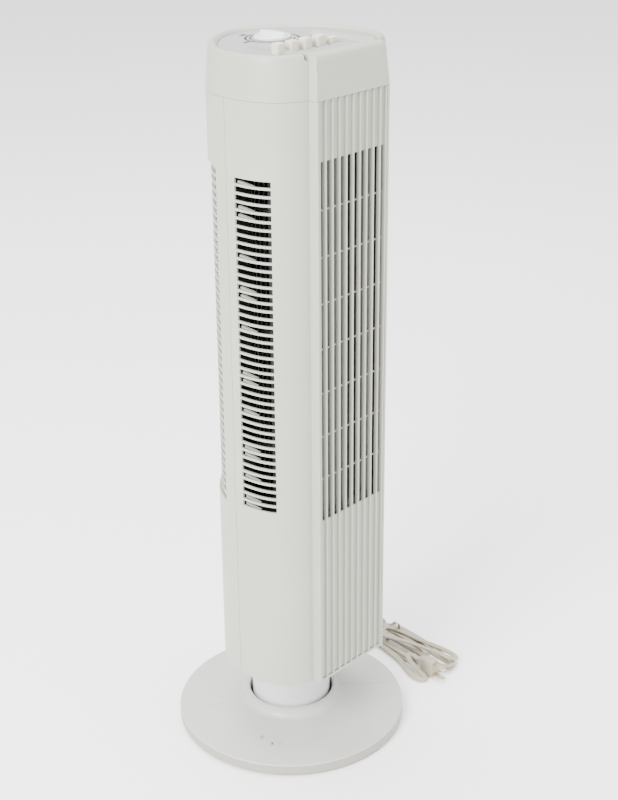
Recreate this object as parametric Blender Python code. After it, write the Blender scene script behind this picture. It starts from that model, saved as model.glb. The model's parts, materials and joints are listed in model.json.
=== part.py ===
"""Tower fan with a round two-piece base, a cross-flow blower and push-button controls.

Frame: metres, +Z up, origin on the neck's axis at the bottom of the base. The front grille faces -Y.
The tower is drawn in the middle of its swing, with the timer off and every button up.
"""
import math

import bmesh
import bpy
from mathutils import Matrix, Vector

MM = 0.001
GAP = 0.3 * MM            # clearance that touching pieces keep

# Base
BASE_RADIUS = 126.5 * MM  # widest radius, at the rim
BASE_FOOT_INSET = 3.5 * MM
RIM_TOP_Z = 15.0 * MM
RIM_BOTTOM_Z = 1.0 * MM
CONE_TOP_Z = 24.0 * MM
COLLAR_WIDTH = 11.0 * MM
HUB_TOP_Z = 34.0 * MM
HUB_WALL = 3.0 * MM
BASE_WALL = 3.0 * MM
BASE_SEAM_TURN = math.radians(-34.0)
FOOT_RADIUS = 6.0 * MM
FOOT_HEIGHT = 1.7 * MM
FOOT_CIRCLE_INSET = 20.0 * MM
CLAMP_RING_Z = 8.0 * MM
CLAMP_RING_THICK = 4.0 * MM

# Neck and oscillation drive
NECK_RADIUS = 43.5 * MM
NECK_GAP = 3.1 * MM
NECK_WALL = 3.5 * MM
NECK_STEPS = 24           # facets round the neck and everything fitted to it
THREAD_RADIUS = 38.5 * MM
SPIGOT_RADIUS = 20.0 * MM
SPIGOT_BORE = 12.0 * MM
RUNNING = 0.4 * MM        # clearance of parts that turn or slide
NECK_TO_BODY = 3.0 * MM
TURNTABLE_RADIUS = 52.0 * MM
TURNTABLE_THICK = 3.0 * MM
CLIP_RADIUS = 26.0 * MM
CLIP_THICK = 1.5 * MM
YOKE_THICK = 4.0 * MM
CRANK_CENTRE = 36.0 * MM  # neck axis to crank axis
CRANK_THROW = 18.0 * MM
CRANK_PIN_RADIUS = 2.5 * MM
CRANK_DISC_THICK = 3.5 * MM
YOKE_SLOT_PLAY = 2.4 * MM
GEAR_MOTOR_RADIUS = 24.0 * MM
GEAR_MOTOR_HEIGHT = 18.0 * MM
BRACKET_HALF = 60.0 * MM
BRACKET_FRONT_Y = -6.0 * MM
BRACKET_BEHIND_CRANK = 8.0 * MM
BRACKET_REAR_LEG_INSET = 64.5 * MM  # rear legs' y is the body's half width less this
BRACKET_NARROW_INSET = 44.5 * MM    # behind them the plate is narrower than the body by this on each side
BRACKET_LEG = 6.0 * MM

# Tower body, in plan
BODY_HALF_WIDTH = 90.5 * MM
BODY_MID_Y = -12.5 * MM   # the widest section; the shells part here
FRONT_DEPTH = 73.5 * MM
FRONT_POWER = 3.1
REAR_DEPTH = 83.0 * MM
REAR_POWER = 1.7
FRONT_BOX_HALF = 50.5 * MM
FRONT_BOX_PROUD = 6.0 * MM
FRONT_SEGMENTS = 4
REAR_SEGMENTS = 4
WALL = 2.5 * MM

# Tower body, in height
BODY_BOTTOM_Z = 100.0 * MM
BODY_HEIGHT = 620.0 * MM
FLOOR_THICK = 3.0 * MM
CAP_HEIGHT = 41.0 * MM
CAP_DRAFT = 3.2 * MM
CAP_ROUND = 4.0 * MM
PANEL_INSET = 3.0 * MM
PANEL_THICK = 2.5 * MM
PANEL_MARGIN = 9.0 * MM
PANEL_FRONT_MARGIN = 25.0 * MM

# Intake slots and outlet windows
SLOT_PITCH = 8.0 * MM
SLOT_HEIGHT = 5.6 * MM
SLOT_TOP_BELOW_SEAM = 72.8 * MM
SLOT_BOTTOM_ABOVE_FLOOR = 203.0 * MM
SLOT_FRONT_Y = -61.5 * MM
SLOT_REAR_Y = -23.0 * MM
REAR_GRILLE_RECESS = 2.7 * MM
REAR_GRILLE_START = 18.0 * MM
REAR_POST_WIDTH = 4.0 * MM
WINDOW_TOP_BELOW_SEAM = 56.7 * MM
WINDOW_BOTTOM_ABOVE_FLOOR = 191.5 * MM
WINDOW_ROW = 46.5 * MM
RIB_PITCH = 9.6 * MM
RIB_COUNT = 9
RIB_WIDTH = 1.8 * MM
RIB_PROUD = 3.0 * MM
GRILLE_PLATE = 2.0 * MM
GRILLE_SIDE = 2.2 * MM
ROD_SIZE = 1.6 * MM

# Blower
WHEEL_RADIUS = 43.0 * MM
WHEEL_CENTRE_Y = -10.0 * MM
BLADE_COUNT = 18
BLADE_CHORD = 12.0 * MM
BLADE_THICK = 1.2 * MM
WHEEL_DISC_THICK = 2.0 * MM
WHEEL_SECTIONS = 3
DECK_THICK = 3.0 * MM
DECK_CLEARANCE = 0.5 * MM
CHAMBER_MARGIN = 8.0 * MM
SHAFT_RADIUS = 4.0 * MM
BUSH_RADIUS = 11.0 * MM
SCROLL_THICK = 2.0 * MM
VANE_COUNT = 8
VANE_DEPTH = 14.0 * MM
VANE_THICK = 1.2 * MM
VANE_TURN = math.radians(18.0)

# Housing screws
SCREW_X = 24.0 * MM
SCREW_SHANK_RADIUS = 1.8 * MM
SCREW_HEAD_RADIUS = 3.6 * MM
SCREW_HEAD_HEIGHT = 2.4 * MM
SCREW_LENGTH = 14.0 * MM
SCREW_FROM_BAND = 12.5 * MM
SCREW_SEAT_DEPTH = 16.0 * MM
BOSS_HALF = 6.0 * MM

# Main motor
STATOR_RADIUS = 38.0 * MM
STATOR_HEIGHT = 38.0 * MM
ROTOR_RADIUS = 20.0 * MM
MOTOR_CAP_RADIUS = 30.0 * MM
MOTOR_CAP_THICK = 9.0 * MM
GROMMET_RADIUS = 5.0 * MM
GROMMET_HEIGHT = 7.0 * MM

# Controls
KNOB_RADIUS = 18.0 * MM
KNOB_BASE_HEIGHT = 3.0 * MM
KNOB_HEIGHT = 7.0 * MM
KNOB_Y = 12.0 * MM
GRIP_WIDTH = 10.0 * MM
TIMER_RADIUS = 22.0 * MM
TIMER_HEIGHT = 28.0 * MM
TIMER_SHAFT_RADIUS = 3.0 * MM
BUTTON_PITCH = 18.0 * MM
BUTTON_FIRST_X = -51.5 * MM
BUTTON_Y = -45.0 * MM
BUTTON_WIDTH = 10.5 * MM
BUTTON_DEPTH = 9.0 * MM
BUTTON_PROUD = 9.5 * MM
SMALL_BUTTON_WIDTH = 8.5 * MM
SMALL_BUTTON_DEPTH = 7.0 * MM
SMALL_BUTTON_PROUD = 5.5 * MM
BUTTON_TRAVEL = 3.0 * MM
STEM_SIZE = 4.0 * MM
SWITCH_HEIGHT = 22.0 * MM

# Cord
CORD_DIAMETER = 6.4 * MM
CORD_EXIT_ANGLE = math.radians(50.0)
RELIEF_LENGTH = 30.0 * MM
RELIEF_Z = 6.2 * MM
HANK_CENTRE_X = 178.0 * MM
HANK_TURN = math.radians(-7.0)
HANK_NEAR_Y = -90.0 * MM
HANK_LENGTH = 116.0 * MM
HANK_WIDTH = 40.0 * MM
HANK_HEIGHT = 19.0 * MM
TIE_WIDTH = 5.0 * MM
TIE_THICK = 1.2 * MM
PLUG_LENGTH = 26.0 * MM
PLUG_WIDTH = 22.0 * MM
PLUG_THICK = 13.0 * MM
BLADE_SPACING = 12.7 * MM
BLADE_SIZE = (6.35 * MM, 16.0 * MM, 1.5 * MM)

# Heights and places that follow from the sizes above
SEAM_Z = BODY_BOTTOM_Z + BODY_HEIGHT
CAP_TOP_Z = SEAM_Z + CAP_HEIGHT
PANEL_TOP_Z = CAP_TOP_Z - PANEL_INSET
PANEL_BOTTOM_Z = PANEL_TOP_Z - PANEL_THICK
FLOOR_TOP_Z = BODY_BOTTOM_Z + FLOOR_THICK
FRONT_FACE_Y = BODY_MID_Y - FRONT_DEPTH - FRONT_BOX_PROUD
HUB_HOLE_RADIUS = NECK_RADIUS + NECK_GAP
NECK_TOP_Z = BODY_BOTTOM_Z - NECK_TO_BODY
SLOT_TOP_Z = SEAM_Z - SLOT_TOP_BELOW_SEAM
SLOT_COUNT = int((SLOT_TOP_Z - BODY_BOTTOM_Z - SLOT_BOTTOM_ABOVE_FLOOR) / SLOT_PITCH)
SLOT_BOTTOM_Z = SLOT_TOP_Z - SLOT_COUNT * SLOT_PITCH
WINDOW_TOP_Z = SEAM_Z - WINDOW_TOP_BELOW_SEAM
WINDOW_BOTTOM_Z = BODY_BOTTOM_Z + WINDOW_BOTTOM_ABOVE_FLOOR
LOWER_DECK_TOP_Z = WINDOW_BOTTOM_Z - CHAMBER_MARGIN
UPPER_DECK_BOTTOM_Z = WINDOW_TOP_Z + CHAMBER_MARGIN
TURNTABLE_TOP_Z = FLOOR_TOP_Z + GAP + TURNTABLE_THICK
YOKE_BOTTOM_Z = TURNTABLE_TOP_Z + CLIP_THICK + 4 * GAP
YOKE_TOP_Z = YOKE_BOTTOM_Z + YOKE_THICK
CRANK_BOTTOM_Z = YOKE_TOP_Z + 5 * GAP
BRACKET_BOTTOM_Z = CRANK_BOTTOM_Z + CRANK_DISC_THICK + 3 * GAP
BRACKET_THICK = 2.5 * MM
GEAR_MOTOR_BOTTOM_Z = BRACKET_BOTTOM_Z + BRACKET_THICK + GAP
GROMMET_TOP_Z = LOWER_DECK_TOP_Z - DECK_THICK - GAP
MOTOR_TOP_Z = GROMMET_TOP_Z - GROMMET_HEIGHT - GAP
STATOR_TOP_Z = MOTOR_TOP_Z - MOTOR_CAP_THICK - GAP
STATOR_BOTTOM_Z = STATOR_TOP_Z - STATOR_HEIGHT
MOTOR_BOTTOM_Z = STATOR_BOTTOM_Z - GAP - MOTOR_CAP_THICK
WHEEL_BOTTOM_Z = LOWER_DECK_TOP_Z + 5 * MM
WHEEL_TOP_Z = UPPER_DECK_BOTTOM_Z - 5 * MM
SCREW_SEAT_Y = BODY_MID_Y + REAR_DEPTH - SCREW_SEAT_DEPTH
FRONT_INSIDE_Y = FRONT_FACE_Y + RIB_PROUD + GRILLE_PLATE + ROD_SIZE + 1 * MM


# ---------------------------------------------------------------- materials

def make_material(name, colour, roughness, metallic=0.0):
    """A Principled material of one colour."""
    material = bpy.data.materials.new(name)
    material.use_nodes = True
    shader = material.node_tree.nodes["Principled BSDF"]
    shader.inputs["Base Color"].default_value = (*colour, 1.0)
    shader.inputs["Roughness"].default_value = roughness
    shader.inputs["Metallic"].default_value = metallic
    return material


def make_materials():
    """Every finish of the fan, by name."""
    return {
        "housing": make_material("housing", (0.68, 0.69, 0.63), 0.45),
        "base": make_material("base", (0.69, 0.70, 0.66), 0.42),
        "neck": make_material("neck", (0.78, 0.78, 0.78), 0.22),
        "panel": make_material("panel", (0.62, 0.64, 0.63), 0.5),
        "knob": make_material("knob", (0.80, 0.80, 0.82), 0.25),
        "button": make_material("button", (0.78, 0.76, 0.66), 0.4),
        "inner": make_material("inner", (0.10, 0.10, 0.10), 0.6),
        "wheel": make_material("wheel", (0.03, 0.03, 0.03), 0.5),
        "steel": make_material("steel", (0.55, 0.55, 0.56), 0.35, 1.0),
        "copper": make_material("copper", (0.60, 0.30, 0.15), 0.4, 0.8),
        "rubber": make_material("rubber", (0.05, 0.05, 0.05), 0.8),
        "cord": make_material("cord", (0.70, 0.66, 0.57), 0.5),
        "brass": make_material("brass", (0.75, 0.62, 0.35), 0.3, 1.0),
    }


# ---------------------------------------------------------------- outlines

def front_round_y(x):
    """The front y of the round body at a distance x from the middle."""
    share = (abs(x) / BODY_HALF_WIDTH) ** FRONT_POWER
    return BODY_MID_Y - FRONT_DEPTH * (1.0 - share) ** (1.0 / FRONT_POWER)


def rear_round_y(x):
    """The rear y of the body at a distance x from the middle."""
    share = (abs(x) / BODY_HALF_WIDTH) ** REAR_POWER
    return BODY_MID_Y + REAR_DEPTH * (1.0 - share) ** (1.0 / REAR_POWER)


def quarter(depth, power, segments, start_angle):
    """Points of one quarter of the body's plan, from start_angle to the quarter's end at 90 degrees."""
    points = []
    for step in range(segments + 1):
        angle = start_angle + (math.pi / 2 - start_angle) * step / segments
        x = BODY_HALF_WIDTH * max(math.cos(angle), 0.0) ** (2.0 / power)
        y = depth * max(math.sin(angle), 0.0) ** (2.0 / power)
        points.append((x, y))
    return points


def body_outline():
    """The tower's plan, anticlockwise from the front box's left corner."""
    crease_angle = math.acos((FRONT_BOX_HALF / BODY_HALF_WIDTH) ** (FRONT_POWER / 2.0))
    front = []
    for step in range(FRONT_SEGMENTS + 1):
        angle = crease_angle * step / FRONT_SEGMENTS
        x = BODY_HALF_WIDTH * math.cos(angle) ** (2.0 / FRONT_POWER)
        front.append((x, front_round_y(x)))
    rear = []
    for x, y in quarter(REAR_DEPTH, REAR_POWER, REAR_SEGMENTS, 0.0):
        rear.append((x, BODY_MID_Y + y))
    right = [(FRONT_BOX_HALF, FRONT_FACE_Y)] + front[::-1]
    left = [(-x, y) for x, y in right[::-1]]
    rear_left = [(-x, y) for x, y in rear[-2::-1]]
    return right[:-1] + rear + rear_left[:-1] + left


def inset_outline(points, distance):
    """An outline moved inwards by a distance, with its corners mitred."""
    moved = []
    count = len(points)
    for index in range(count):
        before = Vector(points[index - 1])
        here = Vector(points[index])
        after = Vector(points[(index + 1) % count])
        first = (here - before).normalized()
        second = (after - here).normalized()
        normal_a = Vector((-first.y, first.x))
        normal_b = Vector((-second.y, second.x))
        mitre = (normal_a + normal_b) / (1.0 + normal_a.dot(normal_b))
        moved.append(tuple(here + mitre * distance))
    return moved


def front_part(points, limit):
    """The part of an outline in front of the shells' parting line, carried straight on to the limit."""
    side_x = max(point[0] for point in points)
    kept = [point for point in points if point[1] < BODY_MID_Y - 0.1 * MM]
    right = [point for point in kept if point[0] > 0]
    left = [point for point in kept if point[0] <= 0]
    if limit > BODY_MID_Y:
        right.append((side_x, BODY_MID_Y))
        left.insert(0, (-side_x, BODY_MID_Y))
    return right + [(side_x, limit), (-side_x, limit)] + left


def rear_part(points, limit):
    """The part of an outline behind the shells' parting line, carried straight on to the limit."""
    side_x = max(point[0] for point in points)
    kept = [point for point in points if point[1] > BODY_MID_Y + 0.1 * MM]
    if limit < BODY_MID_Y:
        kept = [(side_x, BODY_MID_Y)] + kept + [(-side_x, BODY_MID_Y)]
    return [(side_x, limit)] + kept + [(-side_x, limit)]


def interior_outline(clearance):
    """The plan of a plate that fits inside both shells and behind the front grille."""
    inside = inset_outline(body_outline(), WALL + clearance)
    return [(x, max(y, FRONT_INSIDE_Y)) for x, y in inside]


def arc(centre, radius, start, end, segments):
    """Points along a circular arc, angles in radians."""
    points = []
    for step in range(segments + 1):
        angle = start + (end - start) * step / segments
        points.append((centre[0] + radius * math.cos(angle), centre[1] + radius * math.sin(angle)))
    return points


def rounded_rectangle(centre, width, depth, radius, segments=3):
    """A rectangle with round corners, anticlockwise."""
    points = []
    for index, (side_x, side_y) in enumerate(((1, 1), (-1, 1), (-1, -1), (1, -1))):
        corner = (centre[0] + side_x * (width / 2 - radius), centre[1] + side_y * (depth / 2 - radius))
        points += arc(corner, radius, index * math.pi / 2, (index + 1) * math.pi / 2, segments)
    return points


# ---------------------------------------------------------------- solids

def finish_mesh(name, mesh_data, material=None, smooth=False):
    """Turn a bmesh into an object of the scene."""
    bmesh.ops.remove_doubles(mesh_data, verts=mesh_data.verts, dist=0.001 * MM)
    bmesh.ops.recalc_face_normals(mesh_data, faces=mesh_data.faces)
    mesh = bpy.data.meshes.new(name)
    mesh_data.to_mesh(mesh)
    mesh_data.free()
    if smooth:
        mesh.shade_smooth()
        mesh.set_sharp_from_angle(angle=math.radians(35))
    part = bpy.data.objects.new(name, mesh)
    bpy.context.scene.collection.objects.link(part)
    if material is not None:
        mesh.materials.append(material)
    return part


def loft(name, rings, material=None, smooth=False):
    """A closed solid through outlines at rising heights; each ring is (points, z)."""
    mesh_data = bmesh.new()
    loops = []
    for points, height in rings:
        loops.append([mesh_data.verts.new((x, y, height)) for x, y in points])
    count = len(loops[0])
    for lower, upper in zip(loops, loops[1:]):
        for index in range(count):
            after = (index + 1) % count
            mesh_data.faces.new((lower[index], lower[after], upper[after], upper[index]))
    mesh_data.faces.new(loops[0][::-1])
    mesh_data.faces.new(loops[-1])
    return finish_mesh(name, mesh_data, material, smooth)


def prism(name, points, low, high, material=None):
    """An outline extruded from low to high."""
    return loft(name, [(points, low), (points, high)], material)


def box(name, low, high, material=None):
    """A box between two corners."""
    points = [(low[0], low[1]), (high[0], low[1]), (high[0], high[1]), (low[0], high[1])]
    return prism(name, points, low[2], high[2], material)


def boxes(name, corners):
    """Several separate boxes in one object, for use as a cutter."""
    mesh_data = bmesh.new()
    for low, high in corners:
        middle = [(a + b) / 2 for a, b in zip(low, high)]
        size = [b - a for a, b in zip(low, high)]
        placed = Matrix.Translation(middle) @ Matrix.Diagonal((*size, 1.0))
        bmesh.ops.create_cube(mesh_data, size=1.0, matrix=placed)
    return finish_mesh(name, mesh_data)


def turned(name, profile, centre=(0.0, 0.0), start=0.0, sweep=2 * math.pi, steps=24, material=None):
    """A closed profile of (radius, z) points turned about a vertical axis through centre."""
    mesh_data = bmesh.new()
    full = abs(sweep - 2 * math.pi) < 1e-9
    columns = []
    for step in range(steps if full else steps + 1):
        angle = start + sweep * step / steps
        column = []
        for radius, height in profile:
            x = centre[0] + radius * math.cos(angle)
            y = centre[1] + radius * math.sin(angle)
            column.append(mesh_data.verts.new((x, y, height)))
        columns.append(column)
    count = len(profile)
    pairs = list(zip(columns, columns[1:]))
    if full:
        pairs.append((columns[-1], columns[0]))
    for one, two in pairs:
        for index in range(count):
            after = (index + 1) % count
            corners = [one[index], two[index], two[after], one[after]]
            if profile[index][0] == 0.0:
                corners.remove(two[index])
            if profile[after][0] == 0.0:
                corners.remove(two[after])
            if len(corners) > 2:
                mesh_data.faces.new(corners)
    if not full:
        mesh_data.faces.new(columns[0])
        mesh_data.faces.new(columns[-1][::-1])
    return finish_mesh(name, mesh_data, material, smooth=True)


def cylinder(name, centre, radius, low, high, material=None, steps=20):
    """A vertical cylinder."""
    profile = [(0.0, low), (radius, low), (radius, high), (0.0, high)]
    return turned(name, profile, centre, steps=steps, material=material)


def ring(name, centre, inner, outer, low, high, material=None, steps=20):
    """A vertical tube or washer."""
    profile = [(inner, low), (outer, low), (outer, high), (inner, high)]
    return turned(name, profile, centre, steps=steps, material=material)


def apply_modifier(part, modifier):
    """Make a modifier's result the object's own mesh."""
    evaluated = part.evaluated_get(bpy.context.evaluated_depsgraph_get())
    mesh = bpy.data.meshes.new_from_object(evaluated)
    part.modifiers.remove(modifier)
    part.data = mesh


def combine(part, tool, operation):
    """Cut the tool from the part, or join it to the part, and remove the tool."""
    modifier = part.modifiers.new(operation.lower(), "BOOLEAN")
    modifier.operation = operation
    modifier.solver = "EXACT"
    modifier.object = tool
    apply_modifier(part, modifier)
    bpy.data.objects.remove(tool)


def cut(part, tool):
    """Cut the tool from the part."""
    combine(part, tool, "DIFFERENCE")


def join(part, tool):
    """Join the tool to the part."""
    combine(part, tool, "UNION")


def turn_about(part, centre, angle):
    """Turn a mesh about a vertical axis through centre."""
    place = Matrix.Translation((*centre, 0.0)) @ Matrix.Rotation(angle, 4, "Z")
    part.data.transform(place @ Matrix.Translation((-centre[0], -centre[1], 0.0)))


def set_pivot(part, point):
    """Put an object's origin on a point of its joint's axis."""
    part.data.transform(Matrix.Translation(-Vector(point)))
    part.location = point


# ---------------------------------------------------------------- base

def base_profile():
    """Half section of the hollow base: rim, cone, collar, hub wall and clamp ring."""
    inner = THREAD_RADIUS + RUNNING
    hub_out = HUB_HOLE_RADIUS + HUB_WALL
    collar = HUB_HOLE_RADIUS + COLLAR_WIDTH
    rim = BASE_RADIUS
    clamp_top = CLAMP_RING_Z + CLAMP_RING_THICK
    return [
        (inner, CLAMP_RING_Z),
        (hub_out, CLAMP_RING_Z),
        (hub_out, HUB_TOP_Z - 2.5 * BASE_WALL),
        (collar, CONE_TOP_Z - BASE_WALL),
        (rim - 1.2 * BASE_WALL, RIM_TOP_Z - 1.1 * BASE_WALL),
        (rim - BASE_FOOT_INSET - BASE_WALL, RIM_BOTTOM_Z),
        (rim - BASE_FOOT_INSET, RIM_BOTTOM_Z),
        (rim, RIM_TOP_Z - 3.0 * MM),
        (rim - 1.2 * MM, RIM_TOP_Z),
        (collar, CONE_TOP_Z),
        (HUB_HOLE_RADIUS + 1.5 * MM, HUB_TOP_Z),
        (HUB_HOLE_RADIUS, HUB_TOP_Z - 1.0 * MM),
        (HUB_HOLE_RADIUS, clamp_top),
        (inner, clamp_top),
    ]


def foot_places():
    """Centres of the four feet, two under each half."""
    places = []
    for index in range(4):
        angle = BASE_SEAM_TURN + math.radians(45 + 90 * index)
        reach = BASE_RADIUS - FOOT_CIRCLE_INSET
        places.append((reach * math.cos(angle), reach * math.sin(angle)))
    return places


def cord_direction():
    """Unit vector along which the cord leaves the base."""
    return Vector((math.cos(CORD_EXIT_ANGLE), math.sin(CORD_EXIT_ANGLE), 0.0))


def make_base(materials):
    """Two half-discs with foot bosses; the rear one has the cord's notch."""
    half_gap = GAP / 2
    halves = []
    for name, start in (("base_front_half", math.pi), ("base_rear_half", 0.0)):
        low = start + BASE_SEAM_TURN
        part = turned(name, base_profile(), start=low, sweep=math.pi, steps=14, material=materials["base"])
        away = Vector((math.cos(low + math.pi / 2), math.sin(low + math.pi / 2), 0.0))
        part.data.transform(Matrix.Translation(away * half_gap))
        for place in foot_places():
            if place[0] * away.x + place[1] * away.y > 0:
                roof = RIM_TOP_Z - BASE_WALL / 2
                boss = cylinder("boss", place, FOOT_RADIUS + 1.5 * MM, FOOT_HEIGHT + GAP, roof, steps=12)
                join(part, boss)
        halves.append(part)
    rear = halves[1]
    notch = relief_cutter(relief_grip_radius() + GAP, BASE_RADIUS + 5 * MM)
    cut(rear, notch)
    return halves


def make_feet(materials):
    """Four rubber pads under the foot bosses."""
    for index, place in enumerate(foot_places()):
        cylinder(f"foot_{index + 1}", place, FOOT_RADIUS, 0.0, FOOT_HEIGHT, materials["rubber"], steps=12)


def make_neck(materials):
    """Hollow neck: threaded foot, wide tube, closed top and bored spigot."""
    foot_z = CLAMP_RING_Z - 5.0 * MM
    seat_z = CLAMP_RING_Z + CLAMP_RING_THICK + GAP
    bore = THREAD_RADIUS - NECK_WALL
    top = YOKE_TOP_Z + 0.5 * MM
    profile = [
        (bore, foot_z),
        (THREAD_RADIUS, foot_z),
        (THREAD_RADIUS, seat_z),
        (NECK_RADIUS, seat_z),
        (NECK_RADIUS, NECK_TOP_Z),
        (SPIGOT_RADIUS, NECK_TOP_Z),
        (SPIGOT_RADIUS, top),
        (SPIGOT_BORE, top),
        (SPIGOT_BORE, NECK_TOP_Z - NECK_WALL),
        (NECK_RADIUS - NECK_WALL, NECK_TOP_Z - NECK_WALL),
        (NECK_RADIUS - NECK_WALL, seat_z + NECK_WALL),
        (bore, seat_z + NECK_WALL),
    ]
    turned("neck", profile, steps=NECK_STEPS, material=materials["neck"])


def make_lock_nut(materials):
    """Ring nut under the clamp ring, with four finger lugs."""
    low = CLAMP_RING_Z - 5.0 * MM
    high = CLAMP_RING_Z - GAP
    outer = HUB_HOLE_RADIUS
    nut = ring("lock_nut", (0.0, 0.0), THREAD_RADIUS + GAP, outer, low, high, materials["base"], NECK_STEPS)
    for index in range(4):
        lug = box("lug", (outer - 1 * MM, -4 * MM, low), (outer + 4 * MM, 4 * MM, high - 1 * MM))
        turn_about(lug, (0.0, 0.0), index * math.pi / 2)
        join(nut, lug)


# ---------------------------------------------------------------- turntable and oscillation drive

def make_turntable(materials):
    """Thrust washer on the neck, bearing plate on the floor, and the clip that holds the tower down."""
    ring("thrust_washer", (0.0, 0.0), SPIGOT_RADIUS + RUNNING, SPIGOT_RADIUS + 9 * MM,
         NECK_TOP_Z + GAP, FLOOR_TOP_Z, materials["neck"], NECK_STEPS)
    ring("turntable_plate", (0.0, 0.0), SPIGOT_RADIUS + RUNNING, TURNTABLE_RADIUS,
         FLOOR_TOP_Z + GAP, TURNTABLE_TOP_Z, materials["steel"], NECK_STEPS)
    clip_low = TURNTABLE_TOP_Z + GAP
    clip_high = clip_low + CLIP_THICK
    clip = ring("retaining_clip", (0.0, 0.0), SPIGOT_RADIUS + GAP, CLIP_RADIUS, clip_low, clip_high,
                materials["steel"], NECK_STEPS)
    opening = box("opening", (-4 * MM, -CLIP_RADIUS - 5 * MM, clip_low - 1 * MM), (4 * MM, 0.0, clip_high + 1 * MM))
    cut(clip, opening)


def make_yoke(materials):
    """Slotted arm fixed on the neck's spigot; the crank's pin runs in its slot."""
    reach = CRANK_CENTRE + CRANK_THROW + CRANK_PIN_RADIUS + YOKE_SLOT_PLAY + 4 * MM
    half_slot = CRANK_PIN_RADIUS + YOKE_SLOT_PLAY
    hub = ring("yoke_arm", (0.0, 0.0), SPIGOT_RADIUS + GAP, CLIP_RADIUS, YOKE_BOTTOM_Z, YOKE_TOP_Z,
               materials["steel"], NECK_STEPS)
    start = SPIGOT_RADIUS + 3 * MM
    arm = box("arm", (-half_slot - 4 * MM, start, YOKE_BOTTOM_Z), (half_slot + 4 * MM, reach, YOKE_TOP_Z))
    join(hub, arm)
    slot_start = CLIP_RADIUS + 2 * MM
    slot = box("slot", (-half_slot, slot_start, YOKE_BOTTOM_Z - 1 * MM),
               (half_slot, reach - 4 * MM, YOKE_TOP_Z + 1 * MM))
    cut(hub, slot)


def make_gear_motor(materials):
    """Slow motor on its bracket, with the crank disc below it."""
    centre = (0.0, CRANK_CENTRE)
    crank = cylinder("crank", centre, CRANK_THROW + CRANK_PIN_RADIUS + 1 * MM, CRANK_BOTTOM_Z,
                     CRANK_BOTTOM_Z + CRANK_DISC_THICK, materials["button"])
    pin_place = (0.0, CRANK_CENTRE + CRANK_THROW)
    pin = cylinder("pin", pin_place, CRANK_PIN_RADIUS, YOKE_BOTTOM_Z + 0.5 * MM, CRANK_BOTTOM_Z + 1 * MM, steps=12)
    join(crank, pin)
    stub_top = GEAR_MOTOR_BOTTOM_Z + 5 * MM
    stub = cylinder("stub", centre, TIMER_SHAFT_RADIUS, CRANK_BOTTOM_Z + 1 * MM, stub_top, steps=12)
    join(crank, stub)
    set_pivot(crank, (*centre, CRANK_BOTTOM_Z))

    motor = cylinder("oscillation_motor", centre, GEAR_MOTOR_RADIUS, GEAR_MOTOR_BOTTOM_Z,
                     GEAR_MOTOR_BOTTOM_Z + GEAR_MOTOR_HEIGHT, materials["steel"])
    bore = cylinder("bore", centre, TIMER_SHAFT_RADIUS + RUNNING, GEAR_MOTOR_BOTTOM_Z - 1 * MM,
                    stub_top + RUNNING, steps=12)
    cut(motor, bore)

    plate_high = BRACKET_BOTTOM_Z + BRACKET_THICK
    rear_y = CRANK_CENTRE + BRACKET_BEHIND_CRANK
    plate = box("oscillation_bracket", (-BRACKET_HALF, BRACKET_FRONT_Y, BRACKET_BOTTOM_Z),
                (BRACKET_HALF, rear_y, plate_high), materials["steel"])
    leg_half = BRACKET_LEG / 2
    rear_leg_y = BODY_HALF_WIDTH - BRACKET_REAR_LEG_INSET
    narrow_y = rear_leg_y + leg_half + 1 * MM
    narrow_x = BODY_HALF_WIDTH - BRACKET_NARROW_INSET
    leg_x = BRACKET_HALF - leg_half - 1 * MM
    for side in (-1, 1):
        xs = sorted((side * narrow_x, side * (BRACKET_HALF + 10 * MM)))
        trim = box("trim", (xs[0], narrow_y, BRACKET_BOTTOM_Z - 1 * MM),
                   (xs[1], narrow_y + BRACKET_HALF, plate_high + 1 * MM))
        cut(plate, trim)
        for y in (BRACKET_FRONT_Y + leg_half, rear_leg_y):
            leg = box("leg", (side * leg_x - leg_half, y - leg_half, FLOOR_TOP_Z + GAP),
                      (side * leg_x + leg_half, y + leg_half, BRACKET_BOTTOM_Z + 1 * MM))
            join(plate, leg)
    hole = cylinder("hole", centre, TIMER_SHAFT_RADIUS + 2 * MM, BRACKET_BOTTOM_Z - 1 * MM,
                    plate_high + 1 * MM, steps=12)
    cut(plate, hole)


# ---------------------------------------------------------------- housing

def slot_heights():
    """The lowest z of every intake slot, from the top down."""
    return [SLOT_TOP_Z - index * SLOT_PITCH - SLOT_HEIGHT for index in range(SLOT_COUNT)]


def floor_hole(low, high):
    """Cutter for the hole that the neck's spigot passes."""
    return cylinder("floor_hole", (0.0, 0.0), SPIGOT_RADIUS + 10 * MM, low, high, steps=24)


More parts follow.
